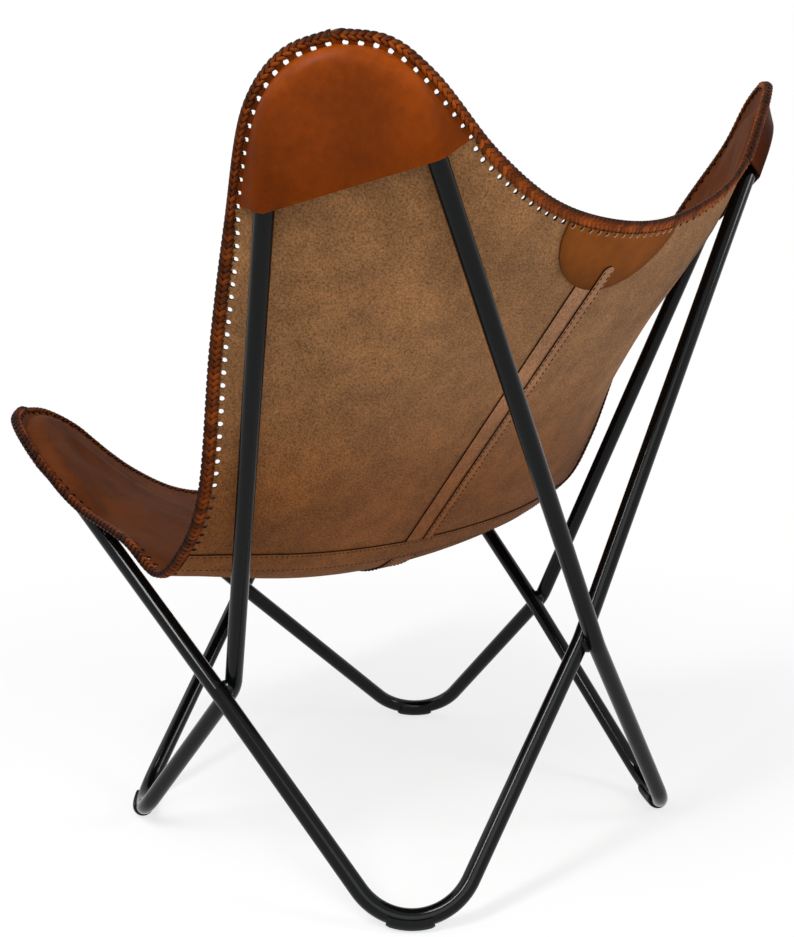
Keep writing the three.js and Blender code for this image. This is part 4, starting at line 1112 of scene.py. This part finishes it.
def line_object(name, points, normals, folds=None, edges=None, painted_shades=None):
    """Bare lines of points that carry the sling's direction, for the node trees to follow."""
    mesh = bpy.data.meshes.new(name)
    edges = chain(len(points)) if edges is None else edges
    mesh.from_pydata([tuple(p) for p in row_frame(points)], edges, [])
    layer = mesh.attributes.new("sheet_normal", "FLOAT_VECTOR", "POINT")
    layer.data.foreach_set("vector", np.asarray(normals, np.float32).ravel())
    store_float(mesh, "fold", np.zeros(len(points)) if folds is None else folds)
    # The tone attribute holds the painted shade of each side of the lacing.
    store_float(mesh, "tone", np.ones(len(points)) if painted_shades is None else painted_shades)
    return placed(name, mesh)


def node_result(thing):
    """The mesh that an object's node tree makes."""
    graph = bpy.context.evaluated_depsgraph_get()
    return bpy.data.meshes.new_from_object(thing.evaluated_get(graph))


def baked(thing, name):
    """Turns an object's node result into a plain mesh piece and drops what made it."""
    mesh = node_result(thing)
    mesh.name = name
    drop(thing)
    return placed(name, mesh)


def drop(thing):
    """Removes a helper object and its mesh."""
    mesh = thing.data
    bpy.data.objects.remove(thing)
    bpy.data.meshes.remove(mesh)


def set_inputs(thing, tree, values):
    """Adds a node tree to an object and sets its inputs by their identifiers."""
    modifier = thing.modifiers.new(tree.name, "NODES")
    modifier.node_group = tree
    for item in tree.interface.items_tree:
        if item.in_out == "INPUT" and item.name in values:
            modifier[item.identifier] = values[item.name]
    return modifier


def new_tree(name, sockets):
    """A node tree with the named inputs and one geometry output."""
    tree = bpy.data.node_groups.new(name, "GeometryNodeTree")
    tree.interface.new_socket("Geometry", in_out="INPUT", socket_type="NodeSocketGeometry")
    for label, kind in sockets.items():
        tree.interface.new_socket(label, in_out="INPUT", socket_type="NodeSocket" + kind)
    tree.interface.new_socket("Geometry", in_out="OUTPUT", socket_type="NodeSocketGeometry")
    return tree, add_node(tree, "NodeGroupInput")


def spaced_frames(tree, line, pitch):
    """Points along a line at a pitch, each turned so that X runs on and Z follows the sling."""
    curve = add_node(tree, "GeometryNodeMeshToCurve", inputs={"Mesh": line})
    spaced = add_node(tree, "GeometryNodeResampleCurve", {"mode": "LENGTH"}, {
        "Curve": curve.outputs["Curve"], "Length": pitch})
    normal = add_node(tree, "GeometryNodeInputNamedAttribute", {"data_type": "FLOAT_VECTOR"}, {
        "Name": "sheet_normal"})
    tangent = add_node(tree, "GeometryNodeInputTangent")
    turned = add_node(tree, "FunctionNodeAxesToRotation", {"primary_axis": "Z", "secondary_axis": "X"}, {
        "Primary Axis": normal.outputs["Attribute"], "Secondary Axis": tangent.outputs["Tangent"]})
    return spaced.outputs["Curve"], turned.outputs["Rotation"]


def lacing_tree():
    """Lace loops set along the hem, each with its own random tone times the painted shade of its side."""
    tree, given = new_tree("hem_lacing", {
        "Pitch": "Float", "Loop": "Object", "Lightest": "Float", "Darkest": "Float", "Seed": "Int",
        "Narrowing": "Float", "Thickening": "Float", "Leather": "Material"})
    spaced, turned = spaced_frames(tree, given.outputs["Geometry"], given.outputs["Pitch"])
    loop = add_node(tree, "GeometryNodeObjectInfo", inputs={"Object": given.outputs["Loop"]})
    fold = add_node(tree, "GeometryNodeInputNamedAttribute", {"data_type": "FLOAT"}, {"Name": "fold"})
    narrow = add_node(tree, "ShaderNodeMapRange", inputs={
        "Value": fold.outputs["Attribute"], "To Min": 1.0, "To Max": given.outputs["Narrowing"]})
    thick = add_node(tree, "ShaderNodeMapRange", inputs={
        "Value": fold.outputs["Attribute"], "To Min": 1.0, "To Max": given.outputs["Thickening"]})
    size = add_node(tree, "ShaderNodeCombineXYZ", inputs={
        "X": 1.0, "Y": narrow.outputs["Result"], "Z": thick.outputs["Result"]})
    loops = add_node(tree, "GeometryNodeInstanceOnPoints", inputs={
        "Points": spaced, "Instance": loop.outputs["Geometry"], "Rotation": turned,
        "Scale": size.outputs["Vector"]})
    shade = add_node(tree, "FunctionNodeRandomValue", {"data_type": "FLOAT"}, {
        2: given.outputs["Darkest"], 3: given.outputs["Lightest"], "Seed": given.outputs["Seed"]})
    # The tone attribute is the painted shade of the side that the loop is on.
    tone = add_node(tree, "GeometryNodeInputNamedAttribute", {"data_type": "FLOAT"}, {"Name": "tone"})
    tone_times_painted_shade = add_node(tree, "ShaderNodeMath", {"operation": "MULTIPLY"}, {
        0: shade.outputs[1], 1: tone.outputs["Attribute"]})
    shaded = add_node(tree, "GeometryNodeStoreNamedAttribute", {"data_type": "FLOAT", "domain": "INSTANCE"}, {
        "Geometry": loops.outputs["Instances"], "Name": "lace_shade", "Value": tone_times_painted_shade.outputs["Value"]})
    real = add_node(tree, "GeometryNodeRealizeInstances", inputs={"Geometry": shaded.outputs["Geometry"]})
    coloured = add_node(tree, "GeometryNodeSetMaterial", inputs={
        "Geometry": real.outputs["Geometry"], "Material": given.outputs["Leather"]})
    add_node(tree, "NodeGroupOutput", inputs={"Geometry": coloured.outputs["Geometry"]})
    return tree


def punching_tree():
    """Round holes punched through a sheet along a line."""
    tree, given = new_tree("punched_holes", {
        "Line": "Object", "Pitch": "Float", "Diameter": "Float", "Depth": "Float", "Edge": "Material"})
    line = add_node(tree, "GeometryNodeObjectInfo", inputs={"Object": given.outputs["Line"]})
    spaced, turned = spaced_frames(tree, line.outputs["Geometry"], given.outputs["Pitch"])
    half = add_node(tree, "ShaderNodeMath", {"operation": "MULTIPLY"}, {0: given.outputs["Diameter"], 1: 0.5})
    punch = add_node(tree, "GeometryNodeMeshCylinder", inputs={
        "Vertices": 14, "Radius": half.outputs["Value"], "Depth": given.outputs["Depth"]})
    punches = add_node(tree, "GeometryNodeInstanceOnPoints", inputs={
        "Points": spaced, "Instance": punch.outputs["Mesh"], "Rotation": turned})
    real = add_node(tree, "GeometryNodeRealizeInstances", inputs={"Geometry": punches.outputs["Instances"]})
    edged = add_node(tree, "GeometryNodeSetMaterial", inputs={
        "Geometry": real.outputs["Geometry"], "Material": given.outputs["Edge"]})
    cut = add_node(tree, "GeometryNodeMeshBoolean", {"operation": "DIFFERENCE", "solver": "MANIFOLD"}, {
        "Mesh 1": given.outputs["Geometry"], "Mesh 2": edged.outputs["Geometry"]})
    add_node(tree, "NodeGroupOutput", inputs={"Geometry": cut.outputs["Mesh"]})
    return tree


def hole_line(sling, pitch, depth):
    """A line for each side of the sling just inside the lacing, at a depth under the hide's middle."""
    points, normals, edges = [], [], []
    for side in HEM_RUNS:
        run = hem_run(sling, side, pitch / 2)
        edges += chain(len(run.points), len(points))
        inset = HOLE_INSET - HOLE_SHIFT * run.folded[:, None]
        points += list(run.points - run.outward * inset - run.normals * depth)
        normals += list(run.normals)
    return line_object("lace_holes", points, normals, edges=edges)


def punched(piece, tree, line, settings, edge):
    """Cuts the lace holes out of a piece and keeps the result as its plain mesh."""
    modifier = set_inputs(piece, tree, {
        "Line": line, "Pitch": settings.pitch, "Diameter": settings.hole, "Depth": PUNCH_LENGTH / MM,
        "Edge": edge})
    mesh, whole = node_result(piece), piece.data
    piece.modifiers.remove(modifier)
    piece.data = mesh
    bpy.data.meshes.remove(whole)
    mesh.name = piece.name
    finish_mesh(mesh)


def stitching_tree():
    """Short thread stitches set along a seam line."""
    tree, given = new_tree("saddle_stitches", {
        "Pitch": "Float", "Length": "Float", "Thickness": "Float", "Thread": "Material"})
    spaced, turned = spaced_frames(tree, given.outputs["Geometry"], given.outputs["Pitch"])
    ball = add_node(tree, "GeometryNodeMeshUVSphere", inputs={"Segments": 7, "Rings": 5, "Radius": 0.5})
    size = add_node(tree, "ShaderNodeCombineXYZ", inputs={
        "X": given.outputs["Length"], "Y": given.outputs["Thickness"], "Z": given.outputs["Thickness"]})
    stitches = add_node(tree, "GeometryNodeInstanceOnPoints", inputs={
        "Points": spaced, "Instance": ball.outputs["Mesh"], "Rotation": turned,
        "Scale": size.outputs["Vector"]})
    real = add_node(tree, "GeometryNodeRealizeInstances", inputs={"Geometry": stitches.outputs["Instances"]})
    threaded = add_node(tree, "GeometryNodeSetMaterial", inputs={
        "Geometry": real.outputs["Geometry"], "Material": given.outputs["Thread"]})
    add_node(tree, "NodeGroupOutput", inputs={"Geometry": threaded.outputs["Geometry"]})
    return tree


def strap(path, facing, widths, thickness, sides=6):
    """A flat lace with rounded edges along a short path."""
    path, facing = np.array(path, float), unit(facing)
    ahead = unit(np.gradient(path, axis=0))
    over = unit(np.cross(facing, ahead))
    up = np.cross(ahead, over)
    turn = np.linspace(0, 2 * math.pi, sides, endpoint=False)
    ring = (np.cos(turn)[None, :, None] * over[:, None] * np.array(widths)[:, None, None] / 2
            + np.sin(turn)[None, :, None] * up[:, None] * thickness / 2)
    points = (path[:, None] + ring).reshape(-1, 3)
    return points, closed_bar(len(path), sides)


def lace_loop(pitch):
    """One turn of the braid: an arm from the hole on each face, and one that wraps the edge."""
    rise, long = LACE_RISE, pitch * LACE_LEAN
    arm_widths, wrap_widths = (3.0, 4.9, 5.1, 4.2), (4.2, 5.1, 5.3, 5.6, 5.3, 5.1, 4.2)
    arm = [(0.0, 0.6, 1.2), (0.3, 2.6, rise + 0.7), (0.65, 5.2, rise + 0.9), (1, 7.8, rise - 0.5)]
    wrap = [(1, 6.2, rise - 0.6), (0.55, 9.2, rise + 0.7), (0.15, 12.2, rise * 0.75)]
    points, faces = [], []
    for face in (-1, 1):
        path = [(x * long, y, face * z) for x, y, z in arm]
        made, quads = strap(path, [(0, 0, face)] * 4, arm_widths, LACE_THICKNESS)
        faces += [tuple(v + len(points) for v in quad) for quad in quads]
        points += list(made)
    path = [(x * long, y, -z) for x, y, z in wrap] + [(0.0, LACE_REACH, 0.0)]
    path += [(x * long, y, z) for x, y, z in wrap[::-1]]
    facing = [(0, 0, -1)] * 2 + [(0, 0.8, -0.6), (0, 1, 0), (0, 0.8, 0.6)] + [(0, 0, 1)] * 2
    made, quads = strap(path, facing, wrap_widths, LACE_THICKNESS)
    faces += [tuple(v + len(points) for v in quad) for quad in quads]
    points += list(made)
    mesh = bpy.data.meshes.new("lace_loop")
    mesh.from_pydata([tuple(np.asarray(p) / MM) for p in points], [], faces)
    mesh.shade_smooth()
    # The rim attribute marks where the lace turns over the edge, for its painted shade.
    out = (np.array(points)[:, 1] - LACE_RIM_START) / LACE_RIM_SPAN
    store_float(mesh, "rim", np.clip(out, 0, 1) ** 0.7)
    return placed("lace_loop", mesh)


def hem_run(sling, side, trim):
    """Hem points of one side of the sling, with their directions, trimmed at both ends."""
    corners = np.cumsum([0] + [sling.columns - 1, sling.rows - 1] * 2)
    here = HEM_RUNS.index(side)
    order = np.arange(corners[here], corners[here + 1] + 1) % len(sling.places)
    points = sling.hem[order]
    steps = np.arange(len(order))
    near = np.minimum(steps, len(order) - 1 - steps) - sling.corner
    folded = np.clip(1 - near / FOLD_LINES, 0, 1)
    lengths = lengths_along(points)
    target = np.arange(trim, lengths[-1] - trim + 1e-6, RUN_STEP)

    def spread(values):
        """Vectors at even steps along the run."""
        return np.stack([np.interp(target, lengths, values[:, k]) for k in range(values.shape[1])], -1)

    folded = np.interp(target, lengths, folded)
    normals = unit(spread(sling.square[order]))
    return SimpleNamespace(
        points=spread(points), normals=normals, outward=unit(spread(sling.outward[order])), folded=folded)


def lace_painted_shades(side, count):
    """Painted shade along one side of the lacing, which runs into the painted shade of the next side at each
    corner.
    """
    here, own = HEM_RUNS.index(side), LACE_PAINTED_SHADE[side]
    from_start = np.arange(count) * RUN_STEP
    painted_shades = np.full(count, own)
    following = HEM_RUNS[(here + 1) % len(HEM_RUNS)]
    for other, away in ((HEM_RUNS[here - 1], from_start), (following, from_start[::-1])):
        painted_shades += (LACE_PAINTED_SHADE[other] - own) / 2 * np.clip(1 - away / LACE_BLEND, 0, 1)
    return painted_shades


class CHAIR_OT_lacing(bpy.types.Operator):
    """Laces the hem of the sling all round"""
    bl_idname = "chair.lacing"
    bl_label = "Lacing"

    def execute(self, context):
        """Makes one length of lacing for each side of the sling."""
        sling = lay_out_sling(context.scene)
        settings = context.scene.chair_sling
        leather = make_finishes(context.scene)
        turn = settings.pitch / TURNS_PER_HOLE
        tree, loop = lacing_tree(), lace_loop(turn * MM)
        for seed, side in enumerate(HEM_RUNS):
            run = hem_run(sling, side, turn * MM / 2)
            # Over a pocket the lace goes round the leaf as well, outside of the tube.
            folded = run.folded[:, None]
            points = run.points - run.normals * folded * LACE_SINK + run.outward * folded * LACE_SHIFT
            # Painted shade for this side of the lacing.
            painted_shades = lace_painted_shades(side, len(points))
            line = line_object("hem_" + side, points, run.normals, run.folded, painted_shades=painted_shades)
            set_inputs(line, tree, {
                "Pitch": turn, "Loop": loop, "Darkest": LACE_SHADES[0], "Lightest": LACE_SHADES[1],
                "Seed": seed, "Narrowing": 1 - LACE_SHIFT / LACE_REACH, "Thickening": LACE_THICKENING,
                "Leather": leather["lace"]})
            lacing = baked(line, "leather_" + side + "_lacing")
            ride(lacing, [side + "_lacing"])
        drop(loop)
        return {"FINISHED"}


# Pieces on the outer face
def at_row(values, row):
    """Values of a grid, or of one of its columns, at a place between two rows."""
    low = min(int(row), len(values) - 2)
    share = row - low
    return values[low] * (1 - share) + values[low + 1] * share


def on_sling(sling, row, distance):
    """Point and direction on the sling at a row place and a distance beside the middle line."""
    line, normal = at_row(sling.grid, row), at_row(sling.normals, row)
    lengths = lengths_along(line)
    target = lengths[sling.middle] + distance
    point = [np.interp(target, lengths, line[:, k]) for k in range(3)]
    facing = [np.interp(target, lengths, normal[:, k]) for k in range(3)]
    return np.array(point), unit(np.array(facing))


def row_below(sling, row, distance, column=None):
    """Row place that lies a distance further along a column than a given row."""
    column = sling.middle if column is None else column
    line = sling.grid[:, column]
    lengths = lengths_along(line)
    return float(np.interp(lengths[row] + distance, lengths, np.arange(sling.rows)))


def across_seam(sling, column, distance):
    """Point and direction on the sling beside the cross seam."""
    row = row_below(sling, sling.seam, distance, column)
    return at_row(sling.grid[:, column], row), sling.normals[sling.seam, column]


def rows_between(first, last):
    """Row places from one to another, with each grid row between them."""
    return np.concatenate([[first], np.arange(math.ceil(first), last), [last]])


def outer_patch(stations, outwards):
    """A grid of points that lies outside the sling, with its normals and faces."""
    points = np.array([p - n * outwards for line in stations for p, n in line])
    normals = np.array([n for line in stations for _, n in line])
    return points, normals, grid_faces(len(stations), len(stations[0]))


def middle_strip(sling, rows):
    """Stations of a strip along the middle line."""
    return [[on_sling(sling, row, d) for d in MIDDLE_PROFILE] for row in rows]


def cross_strip(sling):
    """Stations of the strip along the cross seam, from hem to hem."""
    return [[across_seam(sling, column, d) for d in CROSS_PROFILE[::-1]] for column in range(sling.columns)]


class CHAIR_OT_seam_strips(bpy.types.Operator):
    """Builds the strips that cover the sling's seams and the patch at the top of the back"""
    bl_idname = "chair.seam_strips"
    bl_label = "Seam strips and patch"

    def execute(self, context):
        """Makes three strips, one half-round patch and the strap over them on the outer face."""
        sling = lay_out_sling(context.scene)
        settings = context.scene.chair_sling
        leather = make_finishes(context.scene)
        strip = settings.strip_sheet * MM
        outwards = (settings.sheet * MM + strip) / 2 + SEWN_GAP
        seam_end = row_below(sling, sling.seam, CROSS_PROFILE[0] - STRIP_GAP)
        seam_start = row_below(sling, sling.seam, CROSS_PROFILE[-1] + STRIP_GAP)
        patch_end = row_below(sling, 0, PATCH_DEPTH - PATCH_LAP)
        stations = {
            "back_seam_strip": middle_strip(sling, rows_between(patch_end, seam_end)),
            "seat_seam_strip": middle_strip(sling, rows_between(seam_start, sling.rows - 1.0)),
            "cross_seam_strip": cross_strip(sling),
        }
        for name, (flat, panel) in STRIPS.items():
            hide = leather["flesh" if "cross" in name else "strip"]
            surface = outer_patch(stations[name], outwards)
            # The strip edges take the dark edge colour as a painted shadow line.
            piece = sheet_piece("hide_" + name, surface, strip, [hide, hide, leather["edge"]])
            ride(piece, [name])
        on_hide = outwards + SEWN_GAP
        surface, burnish = top_patch(sling, on_hide)
        patch = sheet_piece("leather_top_patch", surface, strip, [leather["patch"]] * 3 + [leather["raw"]])
        store_float(patch.data, "burnish", np.tile(burnish, 2))
        line = hole_line(sling, settings.pitch * MM, on_hide)
        punched(patch, punching_tree(), line, settings, leather["raw"])
        drop(line)
        ride(patch, ["top_patch"])
        surface = outer_patch(tongue_stations(sling, seam_end), outwards + strip + STRIP_GAP)
        # Its edges take the dark edge colour as a painted shadow line too.
        tongue = sheet_piece(
            "hide_back_seam_tongue", surface, strip, [leather["strip"], leather["strip"], leather["edge"]])
        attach(tongue, "root")
        return {"FINISHED"}


def tongue_stations(sling, last):
    """Stations of the narrow strap on the back strip, with a rounded end on the patch."""
    left, right = TONGUE
    centre, half = (left + right) / 2, (right - left) / 2
    start = row_below(sling, 0, PATCH_DEPTH - TONGUE_LAP)
    ends = [row_below(sling, 0, PATCH_DEPTH - TONGUE_LAP + d) for d in TONGUE_END[1:]]
    stations = []
    for row in np.unique(np.concatenate([ends, rows_between(start, last)])):
        down = np.interp(row, [start, *ends], TONGUE_END)
        wide = half * math.sqrt(max(1 - (1 - min(down / half, 1)) ** 2, 0.02))
        stations.append([on_sling(sling, row, centre + wide * s) for s in TONGUE_ACROSS])
    return stations


class CHAIR_OT_stitches(bpy.types.Operator):
    """Sews the seams with waxed thread on both faces of the sling"""
    bl_idname = "chair.stitches"
    bl_label = "Stitches"

    def execute(self, context):
        """Sets stitches along the strap, the strips and the patch, and along the seams inside."""
        sling = lay_out_sling(context.scene)
        settings = context.scene.chair_sling
        thread = make_finishes(context.scene)["thread"]
        sheet, strip = settings.sheet * MM, settings.strip_sheet * MM
        tree = stitching_tree()
        on_strip = sheet / 2 + strip + THREAD_LIFT
        on_tongue = on_strip + strip + THREAD_LIFT
        top = row_below(sling, 0, PATCH_DEPTH - TONGUE_LAP + STITCH_START)
        low = row_below(sling, sling.seam, CROSS_PROFILE[0] - STITCH_END)
        under = row_below(sling, sling.seam, CROSS_PROFILE[-1] + STITCH_END)
        # The thread stops a few grid lines short of the hem.
        down = np.linspace(top, low, SEAM_SAMPLES)
        seat = np.linspace(under, sling.rows - 3.0, SEAM_SAMPLES)
        inside = np.linspace(3.0, sling.rows - 4.0, INNER_SAMPLES)
        across = range(2, sling.columns - 2)

        def along(rows, offsets, lift):
            """Runs beside the middle line, at a height off the hide."""
            return [[(*on_sling(sling, row, d), lift) for row in rows] for d in offsets]

        def beside_cross(offsets, lift):
            """Runs beside the cross seam, at a height off the hide."""
            return [[(*across_seam(sling, column, d), lift) for column in across] for d in offsets]

        lines = {
            "back_seam_stitches": along(down, TONGUE_STITCHES, on_tongue),
            "seat_seam_stitches": along(seat, SEAT_STITCHES, on_strip),
            "cross_seam_stitches": beside_cross(CROSS_STITCHES, on_strip),
            "inner_seam_stitches":
                along(inside, INNER_STITCHES, -sheet / 2) + beside_cross(INNER_STITCHES, -sheet / 2),
        }
        for name, runs in lines.items():
            points, normals, edges = [], [], []
            for run in runs:
                edges += chain(len(run), len(points))
                points += [p - n * lift for p, n, lift in run]
                normals += [n for _, n, _ in run]
            line = line_object(name, points, normals, edges=edges)
            bold = CROSS_THREAD if "cross" in name else 1.0
            set_inputs(line, tree, {
                "Pitch": settings.stitch, "Length": settings.stitch * STITCH_SHARE * bold,
                "Thickness": settings.thread_size * bold, "Thread": thread})
            sewn = baked(line, "waxed_" + name)
            finish_mesh(sewn.data)
            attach(sewn, "root")
        return {"FINISHED"}


def top_patch(sling, outwards):
    """A half-round patch that hangs from the top hem, as rings round its middle."""
    rings, spokes = 14, 40
    places = [(0.0, 0.0)]
    for ring in range(1, rings + 1):
        for spoke in range(spokes + 1):
            angle = spoke / spokes * math.pi
            share = ring / rings
            row = row_below(sling, 0, math.sin(angle) * PATCH_DEPTH * share)
            places.append((row, math.cos(angle) * PATCH_HALF_WIDTH * share))
    spots = [on_sling(sling, row, d) for row, d in places]
    points = np.array([p - n * outwards for p, n in spots])
    normals = np.array([n for _, n in spots])
    quads = []
    for spoke in range(spokes):
        quads.append((0, 2 + spoke, 1 + spoke))
    for ring in range(1, rings):
        for spoke in range(spokes):
            inner = 1 + (ring - 1) * (spokes + 1) + spoke
            outer = inner + spokes + 1
            quads.append((inner, inner + 1, outer + 1, outer))
    shares = np.repeat(np.arange(1, rings + 1) / rings, spokes + 1)
    # Only the rim of the patch is rubbed dark.
    burnish = np.concatenate([[0.0], shares ** 6])
    return (points, normals, quads), burnish


# Glides
class CHAIR_OT_glides(bpy.types.Operator):
    """Builds the floor glides and coats the weld beads"""
    bl_idname = "chair.glides"
    bl_label = "Glides and welds"

    def execute(self, context):
        """Makes a clip round the lowest stretch of each floor bend."""
        finish = make_finishes(context.scene)
        radius = half_tube(context.scene)
        for name, layout in lay_out_tubes(radius).items():
            if "floor" in name:
                points, faces = glide_clip(make_bend(*layout[:3], BEND_RADIUS), radius)
                node = name.replace("floor_bend", "glide")
                glide = new_piece("moulded_" + node, points, faces, [finish["glide"]], smooth_angle=30)
                ride(glide, [node])
        for node in ("right_weld", "left_weld", "rear_weld", "front_weld"):
            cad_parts[node].data.materials.clear()
            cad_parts[node].data.materials.append(finish["coat"])
        return {"FINISHED"}


def glide_clip(bend, radius, steps=24, sides=28, span=46.0, wrap=205.0):
    """A clip of one section along the bend, flat where it stands."""
    angles = np.linspace(-wrap / 2, wrap / 2, sides + 1) * math.pi / 180
    inner, outer = radius + GLIDE_GAP, radius + GLIDE_WALL + GLIDE_SOLE
    low = lowest_angle(bend)
    rings = []
    for step in range(steps + 1):
        angle = low + (step / steps - 0.5) * span / BEND_RADIUS
        past = max(abs(step / steps - 0.5) * 2 - GLIDE_TAPER_FROM, 0) / (1 - GLIDE_TAPER_FROM)
        ends = 1 - GLIDE_TAPER * past
        along = unit(math.cos(angle) * bend.across + math.sin(angle) * bend.inward)
        up = unit(np.array([0, 0, 1.0]) - along[2] * along)
        side = np.cross(along, up)
        reach = inner + (outer - inner) * ends
        section = [(math.sin(a) * reach, -math.cos(a) * reach) for a in angles]
        section += [(math.sin(a) * inner, -math.cos(a) * inner) for a in angles[::-1]]
        rings.append([bend_at(bend, angle) + x * side + y * up for x, y in section])
    rings = np.array(rings)
    count = rings.shape[1]
    points = rings.reshape(-1, 3)
    points[:, 2] = np.maximum(points[:, 2], 0.0)
    faces = ring_faces(steps + 1, count)
    last = steps * count
    for k in range(sides):
        a, b = k, count - 1 - k
        faces.append((a, b, b - 1, a + 1))
        faces.append((last + a + 1, last + b - 1, last + b, last + a))
    return points, faces


# Stage
class CHAIR_OT_stage(bpy.types.Operator):
    """Sets the pale floor, the soft lamps and the camera"""
    bl_idname = "chair.stage"
    bl_label = "Stage"

    def execute(self, context):
        """Makes what the chair is seen with, and nothing of the chair."""
        scene = context.scene
        scene.view_settings.view_transform = "Standard"
        make_floor()
        make_world(scene)
        for name, (place, size, power) in LAMPS.items():
            lamp = bpy.data.lights.new(name, "AREA")
            lamp.shape, lamp.energy = "RECTANGLE", power
            lamp.size, lamp.size_y = size
            aim(placed(name, lamp), place, LAMP_TARGET)
        lens = bpy.data.cameras.new("camera")
        lens.lens, lens.sensor_width, lens.sensor_fit = 50.0, 36.0, "AUTO"
        scene.camera = placed("camera", lens)
        aim(scene.camera, CAMERA_PLACE, CAMERA_TARGET)
        return {"FINISHED"}


def aim(thing, place, target):
    """Puts a lamp or camera in place and turns it to look at a target."""
    thing.location = place
    thing.rotation_euler = (Vector(target) - Vector(place)).to_track_quat("-Z", "Y").to_euler()


def sight(tree):
    """One where the camera looks, straight, by a mirror or through glass, and zero for other light."""
    rays = add_node(tree, "ShaderNodeLightPath")
    direct = add_node(tree, "ShaderNodeMath", {"operation": "MAXIMUM"}, {
        0: rays.outputs["Is Camera Ray"], 1: rays.outputs["Is Transmission Ray"]})
    seen = add_node(tree, "ShaderNodeMath", {"operation": "MAXIMUM"}, {
        0: direct.outputs["Value"], 1: rays.outputs["Is Glossy Ray"]})
    return seen.outputs["Value"]


def make_floor():
    """A pale floor that keeps the chair's shadow and fades to white away from it."""
    mesh = bpy.data.meshes.new("studio_floor")
    turns = [2 * math.pi * k / FLOOR_SIDES for k in range(FLOOR_SIDES)]
    ring = [(FLOOR_RADIUS * math.cos(turn), FLOOR_RADIUS * math.sin(turn), 0.0) for turn in turns]
    mesh.from_pydata(ring, [], [tuple(range(FLOOR_SIDES))])
    material = bpy.data.materials.new("pale_studio_floor")
    material.use_nodes = True
    tree = material.node_tree
    tree.nodes.clear()
    place = add_node(tree, "ShaderNodeTexCoord")
    far = add_node(tree, "ShaderNodeVectorMath", {"operation": "LENGTH"}, {0: place.outputs["Object"]})
    fade = add_node(tree, "ShaderNodeMapRange", {"interpolation_type": "SMOOTHSTEP"}, {
        "Value": far.outputs["Value"], "From Min": 0.5, "From Max": 1.6, "To Min": 0.72, "To Max": 1.0})
    seen = add_node(tree, "ShaderNodeMath", {"operation": "MULTIPLY"}, {
        0: fade.outputs["Result"], 1: sight(tree)})
    matte = add_node(tree, "ShaderNodeBsdfDiffuse", inputs={"Color": (0.8, 0.8, 0.8, 1.0)})
    white = add_node(tree, "ShaderNodeEmission", inputs={"Color": (1.0, 1.0, 1.0, 1.0), "Strength": 1.0})
    mixed = add_node(tree, "ShaderNodeMixShader", inputs={
        0: seen.outputs["Value"], 1: matte.outputs[0], 2: white.outputs[0]})
    add_node(tree, "ShaderNodeOutputMaterial", inputs={"Surface": mixed.outputs[0]})
    mesh.materials.append(material)
    floor = placed("studio_floor", mesh)


def make_world(scene):
    """Soft even light from all round, and plain white where the camera sees past the floor."""
    world = bpy.data.worlds.new("studio_world")
    world.use_nodes = True
    tree = world.node_tree
    tree.nodes.clear()
    level = add_node(tree, "ShaderNodeMapRange", inputs={
        "Value": sight(tree), "To Min": 0.55, "To Max": 1.0})
    light = add_node(tree, "ShaderNodeBackground", inputs={
        "Color": (1.0, 1.0, 1.0, 1.0), "Strength": level.outputs["Result"]})
    add_node(tree, "ShaderNodeOutputWorld", inputs={"Surface": light.outputs[0]})
    scene.world = world


# Panel and registration
class CHAIR_PT_pieces(bpy.types.Panel):
    """Lists the chair's settings and its pieces"""
    bl_idname = "CHAIR_PT_pieces"
    bl_label = "Butterfly chair"
    bl_space_type = "VIEW_3D"
    bl_region_type = "UI"
    bl_category = "Chair"

    def draw(self, context):
        """Shows the settings first and then a button for each piece."""
        for settings in (context.scene.chair_frame, context.scene.chair_sling):
            for name in settings.bl_rna.properties.keys():
                if name not in ("rna_type", "name"):
                    self.layout.prop(settings, name)
        for maker in MAKERS:
            self.layout.operator(maker.bl_idname)


MAKERS = (
    CHAIR_OT_stage, CHAIR_OT_frame_tubes, CHAIR_OT_glides, CHAIR_OT_sling_panels,
    CHAIR_OT_pockets, CHAIR_OT_seam_strips, CHAIR_OT_stitches, CHAIR_OT_lacing,
)
CLASSES = (FrameSettings, SlingSettings, *MAKERS, CHAIR_PT_pieces)


def register():
    """Adds the classes and the scene's settings."""
    for item in CLASSES:
        bpy.utils.register_class(item)
    bpy.types.Scene.chair_frame = PointerProperty(type=FrameSettings)
    bpy.types.Scene.chair_sling = PointerProperty(type=SlingSettings)


def unregister():
    """Takes the settings and classes away again."""
    del bpy.types.Scene.chair_sling
    del bpy.types.Scene.chair_frame
    for item in reversed(CLASSES):
        bpy.utils.unregister_class(item)


def main():
    """Makes every piece in order."""
    register()
    bpy.ops.chair.stage()
    bpy.ops.chair.frame_tubes()
    bpy.ops.chair.glides()
    bpy.ops.chair.sling_panels()
    bpy.ops.chair.pockets()
    bpy.ops.chair.seam_strips()
    bpy.ops.chair.stitches()
    bpy.ops.chair.lacing()


if __name__ == "__main__":
    main()
